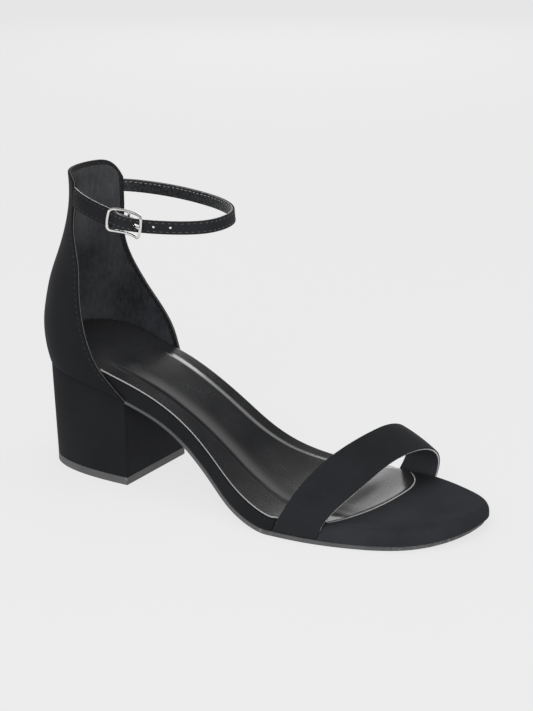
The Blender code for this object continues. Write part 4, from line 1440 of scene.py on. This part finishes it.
def make_buckle():
    origin, forward, out, up = route.at(0.0)

    def place(t, n, w):
        return origin + forward * t + out * n + up * w

    corners = []
    inner = (FRAME_HALF_LENGTH - FRAME_CORNER, FRAME_HALF_WIDTH - FRAME_CORNER)
    for quarter, (sign_t, sign_w) in enumerate(((1, 1), (-1, 1), (-1, -1), (1, -1))):
        for step in range(13):
            turn = (quarter + step / 12) * math.pi / 2
            t = sign_t * inner[0] + FRAME_CORNER * math.cos(turn)
            w = sign_w * inner[1] + FRAME_CORNER * math.sin(turn)
            corners.append((t, w))
    loop = []
    for here, after in zip(corners, corners[1:] + corners[:1]):
        steps = max(int(math.dist(here, after) / WIRE_STEP), 1)
        for share in np.arange(steps) / steps:
            t, w = lerp(here[0], after[0], share), lerp(here[1], after[1], share)
            n = BAR_OUT + FRAME_ARCH * (t / FRAME_HALF_LENGTH) ** 2
            if abs(t) > inner[0]:
                t += math.copysign(FRAME_BOW, t) * (1 - (w / FRAME_HALF_WIDTH) ** 2)
            loop.append(place(t, n, w))
    ring = bent_wire("frame_wire", loop, WIRE, True)
    bar_ends = [place(0.0, BAR_OUT, side * FRAME_HALF_WIDTH) for side in SIDES]
    bar = bent_wire("centre_bar", bar_ends, BAR_WIRE, False)
    deliver(unite([ring, bar], "frame_wire"), "nickel", "buckle_frame", finish=NICKEL, crease=50.0)

    around = np.radians(np.linspace(*PRONG_LOOP_ARC, 30))
    path = [(PRONG_LOOP * math.cos(a), BAR_OUT + PRONG_LOOP * math.sin(a)) for a in around]
    bends = [path[-1], *PRONG_TONGUE]
    run = run_along(bends)
    t_line, n_line = (spline(run, column) for column in zip(*bends))
    path += [(t_line(s), n_line(s)) for s in np.linspace(0, run[-1], 30)[1:]]
    prong = bent_wire("prong_wire", [place(t, n, 0.0) for t, n in path], PRONG, False)
    deliver(prong, "nickel", "buckle_prong", finish=NICKEL, crease=50.0)


# Stitching


def make_stitch():
    """One stitch, lying along X: a short round thread whose ends dip into the leather."""
    hands_off()
    bpy.ops.mesh.primitive_uv_sphere_add(segments=8, ring_count=6, radius=0.5)
    stitch = bpy.context.object
    size = (STITCH_LENGTH * MM, STITCH_WIDTH * MM, STITCH_HEIGHT * 2 * MM)
    reshape(bpy.ops.transform.resize, value=size)
    return stitch


def sew(name, stitch, points, outs, finish, pitch=STITCH_PITCH):
    """A row of stitches along points on a surface whose outward directions are outs."""
    points = np.array(points)
    outs = np.array(outs)
    run = run_along(points)
    count = max(int(run[-1] / pitch), 1)
    copies = []
    for step in range(count):
        s = (step + 0.5) * run[-1] / count
        here, ahead, out = (
            np.array([np.interp(at, run, table[:, axis]) for axis in range(3)])
            for at, table in ((s, points), (s + STITCH_LOOK, points), (s, outs))
        )
        along = (ahead - here) / np.linalg.norm(ahead - here)
        out = out - along * (out @ along)
        out /= np.linalg.norm(out)
        across = np.cross(out, along)
        copy = twin(stitch)
        axes = Matrix(np.column_stack((along, across, out)).tolist()).to_4x4()
        copy.data.transform(Matrix.Translation(on_shoe(here - out * STITCH_SINK)) @ axes)
        copies.append(copy)
    row = unite(copies, name)
    row.data.name = name
    return deliver(row, "nubuck", finish=finish, crease=80.0)


def strap_row(w, off, start, end):
    steps = np.linspace(start, end, 160)
    points = [strap_point(s, off, w) for s in steps]
    outs = [route.at(s)[2] * math.copysign(1.0, off) for s in steps]
    return points, outs


def counter_row(inside):
    """Points a little inside the counter's two front edges and its rim, on either face."""
    edges = {}
    for side, end in zip(SIDES, (0.0, 1.0)):
        heights = np.linspace(cup_foot(end) + COUNTER_ROW_FOOT, rim_height(end) - COUNTER_ROW_TOP, 60)
        edges[side] = [(end - side * COUNTER_EDGE_IN / cup_ring(z)[1][-1], z) for z in heights]
    shares = np.linspace(edges[-1][-1][0] + COUNTER_LOOK, edges[1][-1][0] - COUNTER_LOOK, 80)
    rim = [(share, rim_height(share) - COUNTER_RIM_IN) for share in shares]
    line = edges[-1] + rim + edges[1][::-1]
    points, outs = [], []
    for share, z in line:
        here = cup_point(share, z)
        ends = min(share + COUNTER_LOOK, 1.0), max(share - COUNTER_LOOK, 0.0)
        aside = cup_point(ends[0], z) - cup_point(ends[1], z)
        above = cup_point(share, z + 1.0) - here
        out = np.cross(aside, above)
        out /= np.linalg.norm(out)
        if out @ np.array((here[0] - HEEL_CENTRE, here[1], 0.0)) < 0:
            out = -out
        points.append(here - out * COUNTER_WALL if inside else here)
        outs.append(-out if inside else out)
    return points, outs


def make_stitching():
    stitch = make_stitch()
    edge = STRAP_WIDTH / 2 - STITCH_IN
    for label, side, reach in (("top", 1, "rise"), ("low", -1, "drop")):
        row = strap_row(side * edge, STRAP / 2, STRAP_ROW_START, route.end - STRAP_ROW_SHORT)
        sew(f"strap_stitches_{label}", stitch, *row, GREY_THREAD)
        runs = np.linspace(TAB_ROW_START, TAB_STRAIGHT + TAB_ROW_PAST, 60)
        ups = [side * (getattr(tab_edge(run), reach) - STITCH_IN) for run in runs]
        points = [tab_point(run, TAB / 2, up) for run, up in zip(runs, ups)]
        outs = [route.at(min(route.start + run, 0.0))[2] for run in runs]
        sew(f"tab_stitches_{label}", stitch, points, outs, THREAD)
    row = strap_row(edge, -STRAP / 2, STRAP_LINING_START, route.end - STRAP_LINING_SHORT)
    sew("strap_lining_stitches", stitch, *row, PALE_THREAD, STRAP_LINING_PITCH)
    root = tab_edge(TAB_ROOT_ROW)
    ups = np.linspace(TAB_ROOT_IN - root.drop, root.rise - TAB_ROOT_IN, 20)
    points = [tab_point(TAB_ROOT_ROW, TAB / 2, up) for up in ups]
    outs = [route.at(route.start + TAB_ROOT_ROW)[2]] * len(ups)
    sew("tab_root_stitches", stitch, points, outs, THREAD, TAB_ROOT_PITCH)
    sew("counter_stitches", stitch, *counter_row(False), THREAD)
    sew("counter_lining_stitches", stitch, *counter_row(True), THREAD)
    bpy.data.objects.remove(stitch)


# Studio


def make_studio():
    world = bpy.data.worlds.new("white_studio")
    world.use_nodes = True
    nodes, links = world.node_tree.nodes, world.node_tree.links
    sky = nodes["Background"]
    sky.inputs["Strength"].default_value = SKY_STRENGTH
    way = nodes.new("ShaderNodeTexCoord")
    parts = nodes.new("ShaderNodeSeparateXYZ")
    ramp = nodes.new("ShaderNodeValToRGB")
    for _ in SKY[2:]:
        ramp.color_ramp.elements.new(0.5)
    for stop, tone in zip(ramp.color_ramp.elements, SKY):
        stop.position = tone.rise
        stop.color = grey(tone.light, 1.0)
    links.new(way.outputs["Generated"], parts.inputs["Vector"])
    links.new(parts.outputs["Z"], ramp.inputs["Fac"])
    links.new(ramp.outputs["Color"], sky.inputs["Color"])
    bpy.context.scene.world = world

    hands_off()
    bpy.ops.mesh.primitive_plane_add(size=FLOOR_SIZE, location=(0.0, 0.0, 0.0))
    floor = bpy.context.object
    floor.name = "studio_floor"
    pale = Finish(
        "pale_floor",
        Base_Color=grey(FLOOR_TONE, 1.0),
        Roughness=0.9,
        Specular_IOR_Level=0.0,
        Emission_Color=grey(1.0, 1.0),
        Emission_Strength=FLOOR_GLOW,
    )
    floor.data.materials.append(pale.material)

    for plan in LAMPS:
        lamp = bpy.data.lights.new(plan.name, "AREA")
        lamp.size = plan.size
        lamp.energy = plan.power
        holder = bpy.data.objects.new(plan.name, lamp)
        holder.visible_glossy = plan.mirrored
        holder.location = plan.place
        holder.rotation_euler = (Vector(plan.aim) - Vector(plan.place)).to_track_quat("-Z", "Y").to_euler()
        bpy.context.scene.collection.objects.link(holder)


def make_camera():
    rise, turn = VIEW_RISE, VIEW_TURN
    back = Vector((math.sin(turn) * math.cos(rise), -math.cos(turn) * math.cos(rise), math.sin(rise)))
    camera = bpy.data.cameras.new("photo_camera")
    camera.lens = LENS
    camera.sensor_width = SENSOR
    camera.clip_start = 0.01
    camera.clip_end = 100.0
    holder = bpy.data.objects.new("photo_camera", camera)
    holder.location = on_shoe(Vector(VIEW_AIM) + back * VIEW_DISTANCE)
    holder.rotation_euler = (-back).to_track_quat("-Z", "Y").to_euler()
    bpy.context.scene.collection.objects.link(holder)
    bpy.context.scene.camera = holder
    bpy.context.scene.view_settings.view_transform = "Standard"


make_camera()
make_studio()
make_heel()
make_outsole()
make_edge_wrap()
make_toe_cover()
make_sock()
make_toe_band()
make_counter()
make_ankle_strap()
make_buckle_tab()
make_buckle()
make_stitching()
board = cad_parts["insole_board"]
coat(board, BOARD_FIBRE)
